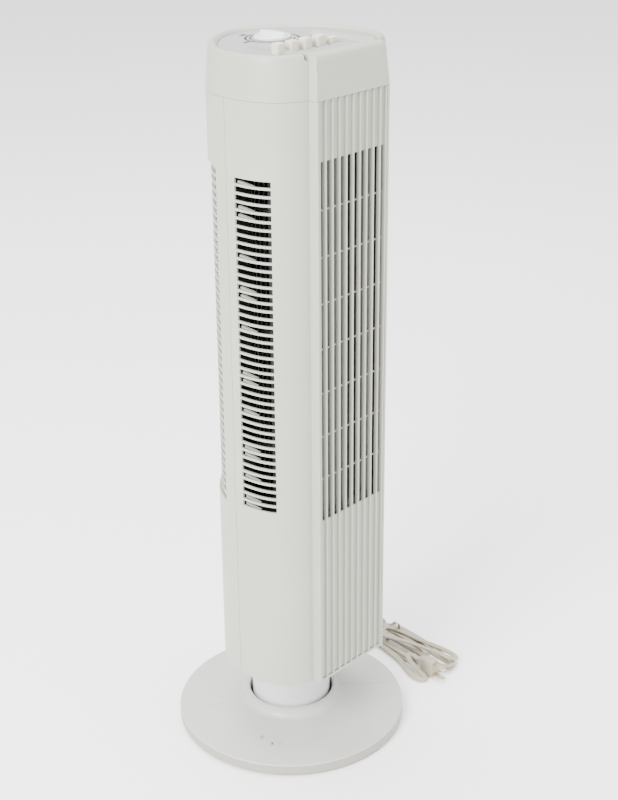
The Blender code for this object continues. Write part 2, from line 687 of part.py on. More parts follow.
def make_front_shell(materials):
    """Front half of the housing: floor, two slotted side walls and the open box for the front grille."""
    outline = body_outline()
    shell = prism("front_shell", front_part(outline, BODY_MID_Y - GAP / 2), BODY_BOTTOM_Z, SEAM_Z,
                  materials["housing"])
    inside = inset_outline(outline, WALL)
    open_front = [(x, y - 20 * MM) if y < FRONT_FACE_Y + WALL + 0.1 * MM else (x, y) for x, y in inside]
    cavity = prism("cavity", front_part(open_front, BODY_MID_Y + 10 * MM), FLOOR_TOP_Z, SEAM_Z + 10 * MM)
    cut(shell, cavity)
    header_x = FRONT_BOX_HALF - WALL / 2
    header_y = FRONT_INSIDE_Y + 0.5 * MM
    header = box("header", (-header_x, header_y, SEAM_Z - 14 * MM), (header_x, header_y + 3 * MM, SEAM_Z - 2 * MM))
    join(shell, header)
    corners = []
    reach = BODY_HALF_WIDTH + 5 * MM
    near = BODY_HALF_WIDTH * 0.6
    for height in slot_heights():
        for side in (-1, 1):
            xs = sorted((side * near, side * reach))
            corners.append(((xs[0], SLOT_FRONT_Y, height), (xs[1], SLOT_REAR_Y, height + SLOT_HEIGHT)))
    cut(shell, boxes("slots", corners))
    cut(shell, floor_hole(BODY_BOTTOM_Z - 5 * MM, FLOOR_TOP_Z + 5 * MM))
    return shell


def rear_opening_outline(inset, margin):
    """Plan of the rear grille's band: the rear of the body behind REAR_GRILLE_START."""
    points = inset_outline(body_outline(), inset)
    start = BODY_MID_Y + REAR_GRILLE_START + margin
    kept = [point for point in points if point[1] > start]
    side_x = kept[0][0] + (kept[0][1] - start) * 0.12
    return [(side_x, start)] + kept + [(-side_x, start)]


def make_rear_shell(materials):
    """Rear half of the housing with the opening for the intake grille and screw bosses."""
    outline = body_outline()
    shell = prism("rear_shell", rear_part(outline, BODY_MID_Y + GAP / 2), BODY_BOTTOM_Z, SEAM_Z,
                  materials["housing"])
    inside = inset_outline(outline, WALL)
    cavity = prism("cavity", rear_part(inside, BODY_MID_Y - 10 * MM), FLOOR_TOP_Z, SEAM_Z + 10 * MM)
    cut(shell, cavity)
    far = BODY_HALF_WIDTH + 20 * MM
    start = BODY_MID_Y + REAR_GRILLE_START
    opening = box("opening", (-far, start, SLOT_BOTTOM_Z - 4 * MM), (far, far, SLOT_TOP_Z + 4 * MM))
    cut(shell, opening)
    cut(shell, floor_hole(BODY_BOTTOM_Z - 5 * MM, FLOOR_TOP_Z + 5 * MM))
    for side, height in screw_places():
        x = side * SCREW_X
        low_x = x - BOSS_HALF
        high_x = x + BOSS_HALF
        plan = [(low_x, SCREW_SEAT_Y - 3 * MM), (high_x, SCREW_SEAT_Y - 3 * MM),
                (high_x, rear_round_y(high_x) - 2 * MM), (low_x, rear_round_y(low_x) - 2 * MM)]
        join(shell, prism("boss", plan, height - BOSS_HALF, height + BOSS_HALF))
        cut(shell, along_y("sink", (x, SCREW_SEAT_Y, height), SCREW_HEAD_RADIUS + GAP, 40 * MM))
        cut(shell, along_y("hole", (x, SCREW_SEAT_Y - 9 * MM, height), SCREW_SHANK_RADIUS + GAP, 12 * MM))
    return shell


def screw_places():
    """Side and height of each housing screw, above and below the rear grille."""
    places = []
    for side in (-1, 1):
        places.append((side, SLOT_TOP_Z + SCREW_FROM_BAND))
        places.append((side, SLOT_BOTTOM_Z - SCREW_FROM_BAND))
    return places


def along_y(name, start, radius, length, material=None, steps=12):
    """A cylinder that runs along +Y from its start point."""
    part = cylinder(name, (0.0, 0.0), radius, 0.0, length, material, steps)
    part.data.transform(Matrix.Translation(start) @ Matrix.Rotation(-math.pi / 2, 4, "X"))
    return part


def make_screws(materials):
    """Four pan-head screws that hold the rear shell."""
    for index, (side, height) in enumerate(screw_places()):
        x = side * SCREW_X
        head = along_y(f"housing_screw_{index + 1}", (x, SCREW_SEAT_Y + GAP, height), SCREW_HEAD_RADIUS,
                       SCREW_HEAD_HEIGHT, materials["steel"])
        shank = along_y("shank", (x, SCREW_SEAT_Y + GAP - SCREW_LENGTH, height), SCREW_SHANK_RADIUS,
                        SCREW_LENGTH + 1 * MM)
        join(head, shank)


def make_rear_grille(materials):
    """Recessed intake grille: a curved panel with horizontal slots between upright posts."""
    low = SLOT_BOTTOM_Z - 4 * MM + GAP
    high = SLOT_TOP_Z + 4 * MM - GAP
    outer = rear_opening_outline(REAR_GRILLE_RECESS, GAP)
    inner = rear_opening_outline(REAR_GRILLE_RECESS + WALL, -5 * MM)
    panel = prism("rear_grille", outer, low, high, materials["housing"])
    cut(panel, prism("inside", inner, low - 5 * MM, high + 5 * MM))
    start = BODY_MID_Y + REAR_GRILLE_START + GAP + REAR_POST_WIDTH
    far = BODY_HALF_WIDTH + 20 * MM
    half_post = REAR_POST_WIDTH / 2
    spans = [(-far, -half_post), (half_post, far)]
    corners = []
    for height in slot_heights():
        for left, right in spans:
            corners.append(((left, start, height), (right, far, height + SLOT_HEIGHT)))
    cut(panel, boxes("slots", corners))
    return panel


def make_front_grille(materials):
    """Front panel: upright ribs over a recessed plate, open in the middle, with thin cross rods."""
    half = FRONT_BOX_HALF - WALL - GAP
    low = FLOOR_TOP_Z + GAP
    high = SEAM_Z - GAP
    front = FRONT_FACE_Y + RIB_PROUD
    back = front + GRILLE_PLATE
    panel = box("front_grille", (-half, front, low), (half, back, high), materials["housing"])
    open_half = half - GRILLE_SIDE
    opening = box("opening", (-open_half, front - 5 * MM, WINDOW_BOTTOM_Z),
                  (open_half, back + 5 * MM, WINDOW_TOP_Z))
    cut(panel, opening)
    rods = []
    row = WINDOW_TOP_Z - WINDOW_ROW
    while row > WINDOW_BOTTOM_Z + WINDOW_ROW / 2:
        rods.append(((-open_half - 1 * MM, back - 0.8 * MM, row - ROD_SIZE / 2),
                     (open_half + 1 * MM, back + ROD_SIZE - 0.6 * MM, row + ROD_SIZE / 2)))
        row -= WINDOW_ROW
    ribs = []
    for index in range(RIB_COUNT):
        x = (index - (RIB_COUNT - 1) / 2) * RIB_PITCH
        ribs.append(((x - RIB_WIDTH / 2, FRONT_FACE_Y + 0.2 * MM, low), (x + RIB_WIDTH / 2, back - 0.4 * MM, high)))
    join(panel, boxes("rods", rods))
    join(panel, boxes("ribs", ribs))
    return panel


# ---------------------------------------------------------------- blower

def add_lugs(deck, low, high, height):
    """Blocks on a deck that the housing screws bite into."""
    back = SCREW_SEAT_Y - 3 * MM - GAP
    for side in (-1, 1):
        x = side * SCREW_X
        lug = box("lug", (x - BOSS_HALF + 1 * MM, back - 12 * MM, low), (x + BOSS_HALF - 1 * MM, back, high))
        join(deck, lug)
        cut(deck, along_y("hole", (x, back - 20 * MM, height), SCREW_SHANK_RADIUS + GAP, 30 * MM))


def make_decks(materials):
    """Plates that close the blower chamber below and above."""
    outline = interior_outline(DECK_CLEARANCE)
    wheel = (0.0, WHEEL_CENTRE_Y)
    low = LOWER_DECK_TOP_Z - DECK_THICK
    lower = prism("lower_deck", outline, low, LOWER_DECK_TOP_Z, materials["inner"])
    cut(lower, cylinder("hole", wheel, SHAFT_RADIUS + 3 * MM, low - 5 * MM, LOWER_DECK_TOP_Z + 5 * MM, steps=16))
    height = SLOT_BOTTOM_Z - SCREW_FROM_BAND
    add_lugs(lower, LOWER_DECK_TOP_Z - 1 * MM, height + BOSS_HALF, height)
    upper = prism("upper_deck", outline, UPPER_DECK_BOTTOM_Z, UPPER_DECK_BOTTOM_Z + DECK_THICK, materials["inner"])
    cut(upper, cylinder("hole", wheel, BUSH_RADIUS + GAP, UPPER_DECK_BOTTOM_Z - 5 * MM,
                        UPPER_DECK_BOTTOM_Z + 15 * MM, steps=20))
    height = SLOT_TOP_Z + SCREW_FROM_BAND
    add_lugs(upper, height - BOSS_HALF, UPPER_DECK_BOTTOM_Z + 1 * MM, height)


def make_top_bush(materials):
    """Rubber-mounted bush that carries the wheel's top axle."""
    wheel = (0.0, WHEEL_CENTRE_Y)
    ring("top_bush", wheel, SHAFT_RADIUS + RUNNING, BUSH_RADIUS, UPPER_DECK_BOTTOM_Z,
         UPPER_DECK_BOTTOM_Z + 8 * MM, materials["rubber"], steps=20)


def sheet_outline(points, thickness):
    """A closed outline of even thickness along an open line."""
    left = []
    right = []
    count = len(points)
    for index, point in enumerate(points):
        before = Vector(points[max(index - 1, 0)])
        after = Vector(points[min(index + 1, count - 1)])
        along = (after - before).normalized()
        side = Vector((-along.y, along.x)) * thickness / 2
        left.append(tuple(Vector(point) + side))
        right.append(tuple(Vector(point) - side))
    return right + left[::-1]


def scroll_points(clearance, growth, start, end, segments):
    """Points of the scroll's curve, whose radius grows evenly from the start angle to the end angle."""
    points = []
    for step in range(segments + 1):
        share = step / segments
        angle = start + (end - start) * share
        radius = WHEEL_RADIUS + clearance + growth * share
        points.append((radius * math.cos(angle), WHEEL_CENTRE_Y + radius * math.sin(angle)))
    return points


def vane_span():
    """Half the width of the vane rack."""
    return FRONT_BOX_HALF - WALL - 9 * MM


def make_scroll(materials):
    """Scroll wall behind and right of the wheel, and the cut-off wall on its left."""
    low = LOWER_DECK_TOP_Z + GAP
    high = UPPER_DECK_BOTTOM_Z - GAP
    mouth = FRONT_BOX_HALF - WALL - 5 * MM
    curve = scroll_points(3 * MM, 5 * MM, math.radians(70), math.radians(-35), 8)
    curve.append((mouth, FRONT_INSIDE_Y + 1 * MM))
    prism("scroll_wall", sheet_outline(curve, SCROLL_THICK), low, high, materials["inner"])
    lip = scroll_points(3 * MM, 0.0, math.radians(195), math.radians(215), 2)
    lip.append((-vane_span() - 2.3 * MM, FRONT_INSIDE_Y + 2 * MM + VANE_DEPTH))
    lip.append((-mouth, FRONT_INSIDE_Y + 1 * MM))
    prism("cutoff_wall", sheet_outline(lip, SCROLL_THICK), low, high, materials["inner"])


def make_vanes(materials):
    """Upright air vanes behind the front grille, held by a top and a bottom rail."""
    low = WINDOW_BOTTOM_Z - 3 * MM
    high = WINDOW_TOP_Z + 3 * MM
    rail = 3 * MM
    centre_y = FRONT_INSIDE_Y + 2 * MM + VANE_DEPTH / 2
    span = vane_span()
    rack = box("vane_rack", (-span, centre_y - VANE_DEPTH / 2, low), (span, centre_y + VANE_DEPTH / 2, low + rail),
               materials["housing"])
    rail_top = box("rail", (-span, centre_y - VANE_DEPTH / 2, high - rail), (span, centre_y + VANE_DEPTH / 2, high))
    pitch = (2 * span - VANE_DEPTH * math.sin(VANE_TURN) - 2 * VANE_THICK) / (VANE_COUNT - 1)
    mesh_data = bmesh.new()
    for index in range(VANE_COUNT):
        x = (index - (VANE_COUNT - 1) / 2) * pitch
        place = Matrix.Translation((x, centre_y, (low + high) / 2)) @ Matrix.Rotation(VANE_TURN, 4, "Z")
        size = Matrix.Diagonal((VANE_THICK, VANE_DEPTH * 0.94, high - low - rail, 1.0))
        bmesh.ops.create_cube(mesh_data, size=1.0, matrix=place @ size)
    join(rack, finish_mesh("vanes", mesh_data))
    join(rack, rail_top)


def make_wheel(materials):
    """Cross-flow wheel: discs joined by forward-curved blades, with its axles and the motor's rotor."""
    centre = (0.0, WHEEL_CENTRE_Y)
    rim = WHEEL_RADIUS
    inner = WHEEL_RADIUS - BLADE_CHORD
    blades = bmesh.new()
    lean = math.radians(14.0)
    for index in range(BLADE_COUNT):
        turn = 2 * math.pi * index / BLADE_COUNT
        line = []
        for share in (0.0, 1.0):
            radius = inner + (rim - 1.6 * MM - inner) * share
            angle = turn + lean * share ** 2
            line.append((radius * math.cos(angle), WHEEL_CENTRE_Y + radius * math.sin(angle)))
        outline = sheet_outline(line, BLADE_THICK)
        low_ring = [blades.verts.new((x, y, WHEEL_BOTTOM_Z + 0.5 * MM)) for x, y in outline]
        high_ring = [blades.verts.new((x, y, WHEEL_TOP_Z - 0.5 * MM)) for x, y in outline]
        count = len(outline)
        for point in range(count):
            after = (point + 1) % count
            blades.faces.new((low_ring[point], low_ring[after], high_ring[after], high_ring[point]))
        blades.faces.new(low_ring[::-1])
        blades.faces.new(high_ring)
    wheel = finish_mesh("blower_wheel", blades, materials["wheel"])
    length = WHEEL_TOP_Z - WHEEL_BOTTOM_Z - WHEEL_DISC_THICK
    for index in range(WHEEL_SECTIONS + 1):
        low = WHEEL_BOTTOM_Z + length * index / WHEEL_SECTIONS
        disc = cylinder("disc", centre, rim, low, low + WHEEL_DISC_THICK, steps=24)
        join(wheel, disc)
    bore_low = WHEEL_BOTTOM_Z - 5 * MM
    bore_high = WHEEL_BOTTOM_Z + WHEEL_DISC_THICK + 5 * MM
    cut(wheel, cylinder("bore", centre, SHAFT_RADIUS + GAP, bore_low, bore_high, steps=16))
    cut(wheel, cylinder("bore", centre, SHAFT_RADIUS + GAP, WHEEL_TOP_Z - WHEEL_DISC_THICK - 5 * MM,
                        WHEEL_TOP_Z + 5 * MM, steps=16))
    hub_low = WHEEL_BOTTOM_Z + WHEEL_DISC_THICK + GAP
    ring("wheel_hub", centre, SHAFT_RADIUS + GAP, 10 * MM, hub_low, hub_low + 12 * MM, materials["rubber"], steps=16)
    cylinder("motor_shaft", centre, SHAFT_RADIUS, MOTOR_BOTTOM_Z - 3 * MM, hub_low + 12 * MM, materials["steel"],
             steps=16)
    cylinder("wheel_top_axle", centre, SHAFT_RADIUS, WHEEL_TOP_Z - WHEEL_DISC_THICK - 3 * MM,
             UPPER_DECK_BOTTOM_Z + 11 * MM, materials["steel"], steps=16)
    ring("motor_rotor", centre, SHAFT_RADIUS + GAP, ROTOR_RADIUS, STATOR_BOTTOM_Z + 2 * MM, STATOR_TOP_Z - 2 * MM,
         materials["steel"])
    for name in ("blower_wheel", "wheel_hub", "motor_shaft", "wheel_top_axle", "motor_rotor"):
        set_pivot(bpy.data.objects[name], (*centre, WHEEL_BOTTOM_Z))


def make_motor(materials):
    """Stator between two end caps, hung from the lower deck on three rubber grommets."""
    centre = (0.0, WHEEL_CENTRE_Y)
    ring("motor_stator", centre, ROTOR_RADIUS + RUNNING, STATOR_RADIUS, STATOR_BOTTOM_Z, STATOR_TOP_Z,
         materials["copper"], steps=24)
    ring("motor_cap_lower", centre, SHAFT_RADIUS + RUNNING, MOTOR_CAP_RADIUS, MOTOR_BOTTOM_Z,
         MOTOR_BOTTOM_Z + MOTOR_CAP_THICK, materials["steel"])
    ring("motor_cap_upper", centre, SHAFT_RADIUS + RUNNING, MOTOR_CAP_RADIUS, MOTOR_TOP_Z - MOTOR_CAP_THICK,
         MOTOR_TOP_Z, materials["steel"])
    for index in range(3):
        angle = math.radians(90 + 120 * index)
        reach = MOTOR_CAP_RADIUS - GROMMET_RADIUS - 1 * MM
        place = (reach * math.cos(angle), WHEEL_CENTRE_Y + reach * math.sin(angle))
        cylinder(f"motor_grommet_{index + 1}", place, GROMMET_RADIUS, GROMMET_TOP_Z - GROMMET_HEIGHT,
                 GROMMET_TOP_Z, materials["rubber"], steps=12)
    top = LOWER_DECK_TOP_Z - DECK_THICK - GAP
    box("run_capacitor", (46 * MM, -32 * MM, top - 26 * MM), (62 * MM, 8 * MM, top), materials["inner"])


# ---------------------------------------------------------------- cap and controls

def panel_outline(inset):
    """Plan of the control panel: the cap's top inside its rim, straight along the front."""
    points = inset_outline(body_outline(), CAP_DRAFT + PANEL_MARGIN + inset)
    limit = FRONT_FACE_Y + PANEL_FRONT_MARGIN + inset
    kept = [point for point in points if point[1] > limit + 4 * MM]
    edge = max(point[0] for point in points if abs(point[1] - limit) < 18 * MM)
    corner = edge - 4 * MM
    ordered = sorted(kept, key=lambda point: math.atan2(point[1], point[0]))
    start = [point for point in ordered if point[1] < 0 and point[0] > 0]
    rest = [point for point in ordered if point[1] >= 0]
    end = [point for point in ordered if point[1] < 0 and point[0] <= 0]
    return [(-corner, limit), (corner, limit)] + start + rest + end


def make_cap(materials):
    """Top cap: a drafted cup with a rounded rim and an opening for the control panel."""
    outline = body_outline()
    low = SEAM_Z + GAP
    rings = [
        (outline, low),
        (inset_outline(outline, CAP_DRAFT * 0.6), CAP_TOP_Z - CAP_ROUND * 1.5),
        (inset_outline(outline, CAP_DRAFT + CAP_ROUND * 0.3), CAP_TOP_Z - CAP_ROUND * 0.3),
        (inset_outline(outline, CAP_DRAFT + CAP_ROUND), CAP_TOP_Z),
    ]
    cap = loft("top_cap", rings, materials["housing"])
    cavity_rings = [
        (inset_outline(outline, WALL), low - 5 * MM),
        (inset_outline(outline, WALL + CAP_DRAFT + 1 * MM), PANEL_BOTTOM_Z - GAP),
    ]
    cut(cap, loft("cavity", cavity_rings))
    cut(cap, prism("panel_opening", panel_outline(0.0), PANEL_BOTTOM_Z - 10 * MM, CAP_TOP_Z + 5 * MM))
    return cap


def button_specs():
    """Name, x, width, depth and height of every push button."""
    names = ("button_off", "button_low", "button_medium", "button_high")
    specs = []
    for index, name in enumerate(names):
        x = BUTTON_FIRST_X + index * BUTTON_PITCH
        specs.append((name, x, BUTTON_WIDTH, BUTTON_DEPTH, BUTTON_PROUD))
    x = BUTTON_FIRST_X + len(names) * BUTTON_PITCH
    specs.append(("button_oscillate", x, SMALL_BUTTON_WIDTH, SMALL_BUTTON_DEPTH, SMALL_BUTTON_PROUD))
    return specs


def make_panel(materials):
    """Control panel with holes for the timer shaft and the buttons."""
    panel = prism("control_panel", panel_outline(GAP), PANEL_BOTTOM_Z, PANEL_TOP_Z, materials["panel"])
    cut(panel, cylinder("hole", (0.0, KNOB_Y), TIMER_SHAFT_RADIUS + RUNNING, PANEL_BOTTOM_Z - 5 * MM,
                        PANEL_TOP_Z + 5 * MM, steps=16))
    for name, x, width, depth, proud in button_specs():
        outline = rounded_rectangle((x, BUTTON_Y), width + 2 * RUNNING, depth + 2 * RUNNING, 2 * MM)
        cut(panel, prism("hole", outline, PANEL_BOTTOM_Z - 5 * MM, PANEL_TOP_Z + 5 * MM))
    return panel


def make_timer(materials):
    """Mechanical timer under the panel, its shaft, and the knob with its grip."""
    centre = (0.0, KNOB_Y)
    top = PANEL_BOTTOM_Z - GAP
    shaft_low = top - TIMER_HEIGHT * 0.6
    shaft_high = PANEL_TOP_Z + KNOB_HEIGHT - 3 * MM
    timer = cylinder("timer_body", centre, TIMER_RADIUS, top - TIMER_HEIGHT, top, materials["inner"])
    cut(timer, cylinder("bore", centre, TIMER_SHAFT_RADIUS + RUNNING, shaft_low - RUNNING, top + 5 * MM, steps=16))
    shaft = cylinder("timer_shaft", centre, TIMER_SHAFT_RADIUS, shaft_low, shaft_high, materials["brass"], steps=16)
    low = PANEL_TOP_Z + RUNNING
    disc_high = low + KNOB_BASE_HEIGHT
    profile = [(0.0, low), (KNOB_RADIUS, low), (KNOB_RADIUS - 1 * MM, disc_high), (0.0, disc_high)]
    knob = turned("timer_knob", profile, centre, steps=24, material=materials["knob"])
    grip_arc = KNOB_RADIUS - 2 * MM
    bulge = (grip_arc ** 2 + (GRIP_WIDTH / 2) ** 2) / GRIP_WIDTH
    half_angle = math.asin(grip_arc / bulge)
    shift = bulge - GRIP_WIDTH / 2
    right = arc((-shift, KNOB_Y), bulge, -half_angle, half_angle, 6)
    left = arc((shift, KNOB_Y), bulge, math.pi - half_angle, math.pi + half_angle, 6)
    grip = prism("grip", right[:-1] + left[:-1], disc_high - 1 * MM, PANEL_TOP_Z + KNOB_HEIGHT)
    join(knob, grip)
    cut(knob, cylinder("bore", centre, TIMER_SHAFT_RADIUS + GAP, low - 5 * MM, shaft_high + GAP, steps=16))
    for part in (shaft, knob):
        set_pivot(part, (*centre, PANEL_TOP_Z))


def make_buttons(materials):
    """Five buttons, each with a stop flange under the panel and a stem into the switch block."""
    flange_high = PANEL_BOTTOM_Z - GAP
    flange_low = flange_high - 1.5 * MM
    stem_low = flange_low - 6 * MM
    for name, x, width, depth, proud in button_specs():
        top = PANEL_TOP_Z + proud
        centre = (x, BUTTON_Y)
        rings = [
            (rounded_rectangle(centre, width, depth, 1.5 * MM), flange_high - 0.5 * MM),
            (rounded_rectangle(centre, width, depth, 1.5 * MM), top - 1.2 * MM),
            (rounded_rectangle(centre, width - 2 * MM, depth - 2 * MM, 1.5 * MM), top),
        ]
        button = loft(name, rings, materials["button"])
        wide = 1.5 * MM
        flange = box("flange", (x - width / 2 - wide, BUTTON_Y - depth / 2 - wide, flange_low),
                     (x + width / 2 + wide, BUTTON_Y + depth / 2 + wide, flange_high))
        join(button, flange)
        half = STEM_SIZE / 2
        stem = box("stem", (x - half, BUTTON_Y - half, stem_low), (x + half, BUTTON_Y + half, flange_low + 1 * MM))
        join(button, stem)
        set_pivot(button, (x, BUTTON_Y, PANEL_TOP_Z))
    block_high = flange_low - BUTTON_TRAVEL - 2 * GAP
    specs = button_specs()
    low_x = specs[0][1] - 11 * MM
    high_x = specs[-1][1] + 9 * MM
    block = box("switch_block", (low_x, BUTTON_Y - 9 * MM, block_high - SWITCH_HEIGHT),
                (high_x, BUTTON_Y + 9 * MM, block_high), materials["inner"])
    depth = stem_low - BUTTON_TRAVEL - 1 * MM
    corners = []
    half = STEM_SIZE / 2 + RUNNING
    for name, x, width, deep, proud in specs:
        corners.append(((x - half, BUTTON_Y - half, depth), (x + half, BUTTON_Y + half, block_high + 5 * MM)))
    cut(block, boxes("pockets", corners))


# ---------------------------------------------------------------- cord

def relief_grip_radius():
    """Radius of the strain relief where the base's rim holds it."""
    return CORD_DIAMETER / 2 + 1.8 * MM


def horizontal(name, profile, start, direction, material=None, steps=16):
    """A closed profile of (radius, distance) points turned about a horizontal line."""
    part = turned(name, profile, steps=steps, material=material)
    turn = Vector((0.0, 0.0, 1.0)).rotation_difference(Vector(direction)).to_matrix().to_4x4()
    part.data.transform(Matrix.Translation(start) @ turn)
    return part


def relief_cutter(radius, reach):
    """Cutter for the hole that the strain relief passes through the rim."""
    start = cord_direction() * (BASE_RADIUS - 16 * MM) + Vector((0.0, 0.0, RELIEF_Z))
    profile = [(0.0, 0.0), (radius, 0.0), (radius, reach - BASE_RADIUS + 26 * MM), (0.0, reach - BASE_RADIUS + 26 * MM)]
    return horizontal("notch", profile, start, cord_direction(), steps=12)


def make_strain_relief(materials):
    """Tapered sleeve through the base's rim, bored for the cord."""
    grip = relief_grip_radius()
    bore = CORD_DIAMETER / 2 + GAP
    inside = 10 * MM
    profile = [(bore, 0.0), (grip, 0.0), (grip, inside), (CORD_DIAMETER / 2 + 1.0 * MM, RELIEF_LENGTH),
               (bore, RELIEF_LENGTH)]
    start = cord_direction() * (BASE_RADIUS - inside) + Vector((0.0, 0.0, RELIEF_Z))
    horizontal("strain_relief", profile, start, cord_direction(), materials["cord"])


def cord_exit():
    """Where the cord leaves the strain relief."""
    return cord_direction() * (BASE_RADIUS - 10 * MM + RELIEF_LENGTH) + Vector((0.0, 0.0, RELIEF_Z))


# Route of the uncoiled lead on the floor, from the strain relief towards the rear end of the hank
LEAD_ROUTE = [
    (0.1070, 0.1275, 0.0042),
    (0.1240, 0.1450, 0.0034),
    (0.1470, 0.1520, 0.0034),
    (0.1700, 0.1440, 0.0034),
    (0.1860, 0.1230, 0.0034),
    (0.1925, 0.0980, 0.0034),
    (0.1915, 0.0760, 0.0034),
]


def hank_place(x, y, z):
    """A point given along the hank's own directions, placed in the fan's frame."""
    pivot = Vector((HANK_CENTRE_X, HANK_NEAR_Y + HANK_LENGTH / 2, 0.0))
    offset = Vector((x, y, z)) - pivot
    offset.rotate(Matrix.Rotation(HANK_TURN, 3, "Z"))
    return pivot + offset


def turn_with_hank(part):
    """Turn a piece that is drawn along the hank's own directions."""
    turn_about(part, (HANK_CENTRE_X, HANK_NEAR_Y + HANK_LENGTH / 2), HANK_TURN)


def smooth_route(points, spacing):
    """Points about every spacing along a smooth curve through the given points."""
    route = [Vector(point) for point in points]
    extended = [2 * route[0] - route[1]] + route + [2 * route[-1] - route[-2]]
    dense = []
    for index in range(1, len(extended) - 2):
        before, here, after, beyond = extended[index - 1:index + 3]
        steps = max(2, round((after - here).length / spacing))
        for step in range(steps):
            t = step / steps
            blend = 0.5 * ((2 * here) + (after - before) * t
                           + (2 * before - 5 * here + 4 * after - beyond) * t ** 2
                           + (3 * here - before - 3 * after + beyond) * t ** 3)
            dense.append(blend)
    dense.append(route[-1])
    return dense


def make_lead(materials):
    """The uncoiled lead on the floor, from the base to the hank."""
    far = HANK_NEAR_Y + HANK_LENGTH
    rest = LEAD_ROUTE[-1][2]
    route = [cord_exit() - cord_direction() * 22 * MM, cord_exit()]
    route += [Vector(point) for point in LEAD_ROUTE]
    for beyond in (30 * MM, 14 * MM, GAP):
        route.append(hank_place(HANK_CENTRE_X, far + beyond, rest))
    dense = smooth_route(route, 2.5 * CORD_DIAMETER)
    curve = bpy.data.curves.new("cord_lead", "CURVE")
    curve.dimensions = "3D"
    curve.bevel_depth = CORD_DIAMETER / 2
    curve.bevel_resolution = 2
    curve.use_fill_caps = True
    spline = curve.splines.new("POLY")
    spline.points.add(len(dense) - 1)
    for point, place in zip(spline.points, dense):
        point.co = (*place, 1.0)
    curve.materials.append(materials["cord"])
    lead = bpy.data.objects.new("cord_lead", curve)
    bpy.context.scene.collection.objects.link(lead)


def make_hank(materials):
    """The tied bundle of cord, stepped at its near end where the plug lies, and its tie."""
    left = HANK_CENTRE_X - HANK_WIDTH / 2
    right = HANK_CENTRE_X + HANK_WIDTH / 2
    far = HANK_NEAR_Y + HANK_LENGTH
    arm_left = left + PLUG_THICK + 2 * MM
    shoulder = HANK_NEAR_Y + PLUG_LENGTH + 5 * MM
    arm = (right - arm_left) / 2
    corner = 12 * MM
    outline = [(left, shoulder), (arm_left, shoulder)]
    outline += arc((arm_left + arm, HANK_NEAR_Y + arm), arm, math.pi, 2 * math.pi, 6)
    outline += arc((right - corner, far - corner), corner, 0.0, math.pi / 2, 3)
    outline += arc((left + corner, far - corner), corner, math.pi / 2, math.pi, 3)
    hank = prism("cord_hank", outline, 0.0, HANK_HEIGHT, materials["cord"])
    tie_y = far - 16 * MM
    low_y = tie_y - TIE_WIDTH / 2
    high_y = tie_y + TIE_WIDTH / 2
    groove = TIE_THICK + GAP
    waist = box("waist", (left - 5 * MM, low_y - GAP, -5 * MM), (right + 5 * MM, high_y + GAP, HANK_HEIGHT + 5 * MM))
    core = box("core", (left + groove, low_y - 5 * MM, groove), (right - groove, high_y + 5 * MM, HANK_HEIGHT - groove))
    cut(waist, core)
    cut(hank, waist)
    tie = box("cord_tie", (left, low_y, 0.0), (right, high_y, HANK_HEIGHT), materials["cord"])
    hollow = box("hollow", (left + TIE_THICK, low_y - 5 * MM, TIE_THICK),
                 (right - TIE_THICK, high_y + 5 * MM, HANK_HEIGHT - TIE_THICK))
    cut(tie, hollow)
    turn_with_hank(hank)
    turn_with_hank(tie)


def make_plug(materials):
    """Two-pin plug on its edge in the hank's step, with its blades pointing forwards."""
    x = HANK_CENTRE_X - HANK_WIDTH / 2 + PLUG_THICK / 2
    back = HANK_NEAR_Y + PLUG_LENGTH + 5 * MM - GAP
    front = back - PLUG_LENGTH
    low = 0.3 * MM
    rings = []
    for share, z in ((0.78, 0.0), (1.0, 0.14), (1.0, 0.86), (0.78, 1.0)):
        outline = rounded_rectangle((x, back - PLUG_LENGTH / 2), PLUG_THICK * share, PLUG_LENGTH, 4 * MM)
        rings.append((outline, low + PLUG_WIDTH * z))
    body = loft("plug_body", rings, materials["cord"])
    middle = low + PLUG_WIDTH / 2
    broad, length, thick = BLADE_SIZE
    for index, side in enumerate((-1, 1)):
        z = middle + side * BLADE_SPACING / 2
        corner = (x - broad / 2, front - length, z - thick / 2)
        opposite = (x + broad / 2, front + 5 * MM, z + thick / 2)
        blade = box(f"plug_blade_{index + 1}", corner, opposite, materials["brass"])
        pocket = box("pocket", (corner[0] - GAP, front - 10 * MM, corner[2] - GAP),
                     (opposite[0] + GAP, opposite[1] + GAP, opposite[2] + GAP))
        cut(body, pocket)
        turn_with_hank(blade)
    turn_with_hank(body)


# ---------------------------------------------------------------- assembly

def clear_scene():
    """Remove whatever the scene holds."""
    for item in list(bpy.data.objects):
        bpy.data.objects.remove(item)


def main():
    """Build the whole fan."""
    clear_scene()
    materials = make_materials()
    make_base(materials)
    make_feet(materials)
    make_neck(materials)
    make_lock_nut(materials)
    make_turntable(materials)
    make_yoke(materials)
    make_gear_motor(materials)
    make_front_shell(materials)
    make_rear_shell(materials)
    make_screws(materials)
    make_rear_grille(materials)
    make_front_grille(materials)
    make_decks(materials)
    make_top_bush(materials)
    make_scroll(materials)
    make_vanes(materials)
    make_wheel(materials)
    make_motor(materials)
    make_cap(materials)
    make_panel(materials)
    make_timer(materials)
    make_buttons(materials)
    make_strain_relief(materials)
    make_lead(materials)
    make_hank(materials)
    make_plug(materials)


main()
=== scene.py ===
"""Looks of the tower fan: housing, grilles, controls, blower, base, neck and the tied mains cord.

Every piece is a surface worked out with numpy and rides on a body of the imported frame. Metres throughout.
"""
from __future__ import annotations

import json
import logging
import math
from dataclasses import dataclass, field
from enum import Enum
from typing import ClassVar

import bpy
import numpy as np
from mathutils import Matrix, Vector

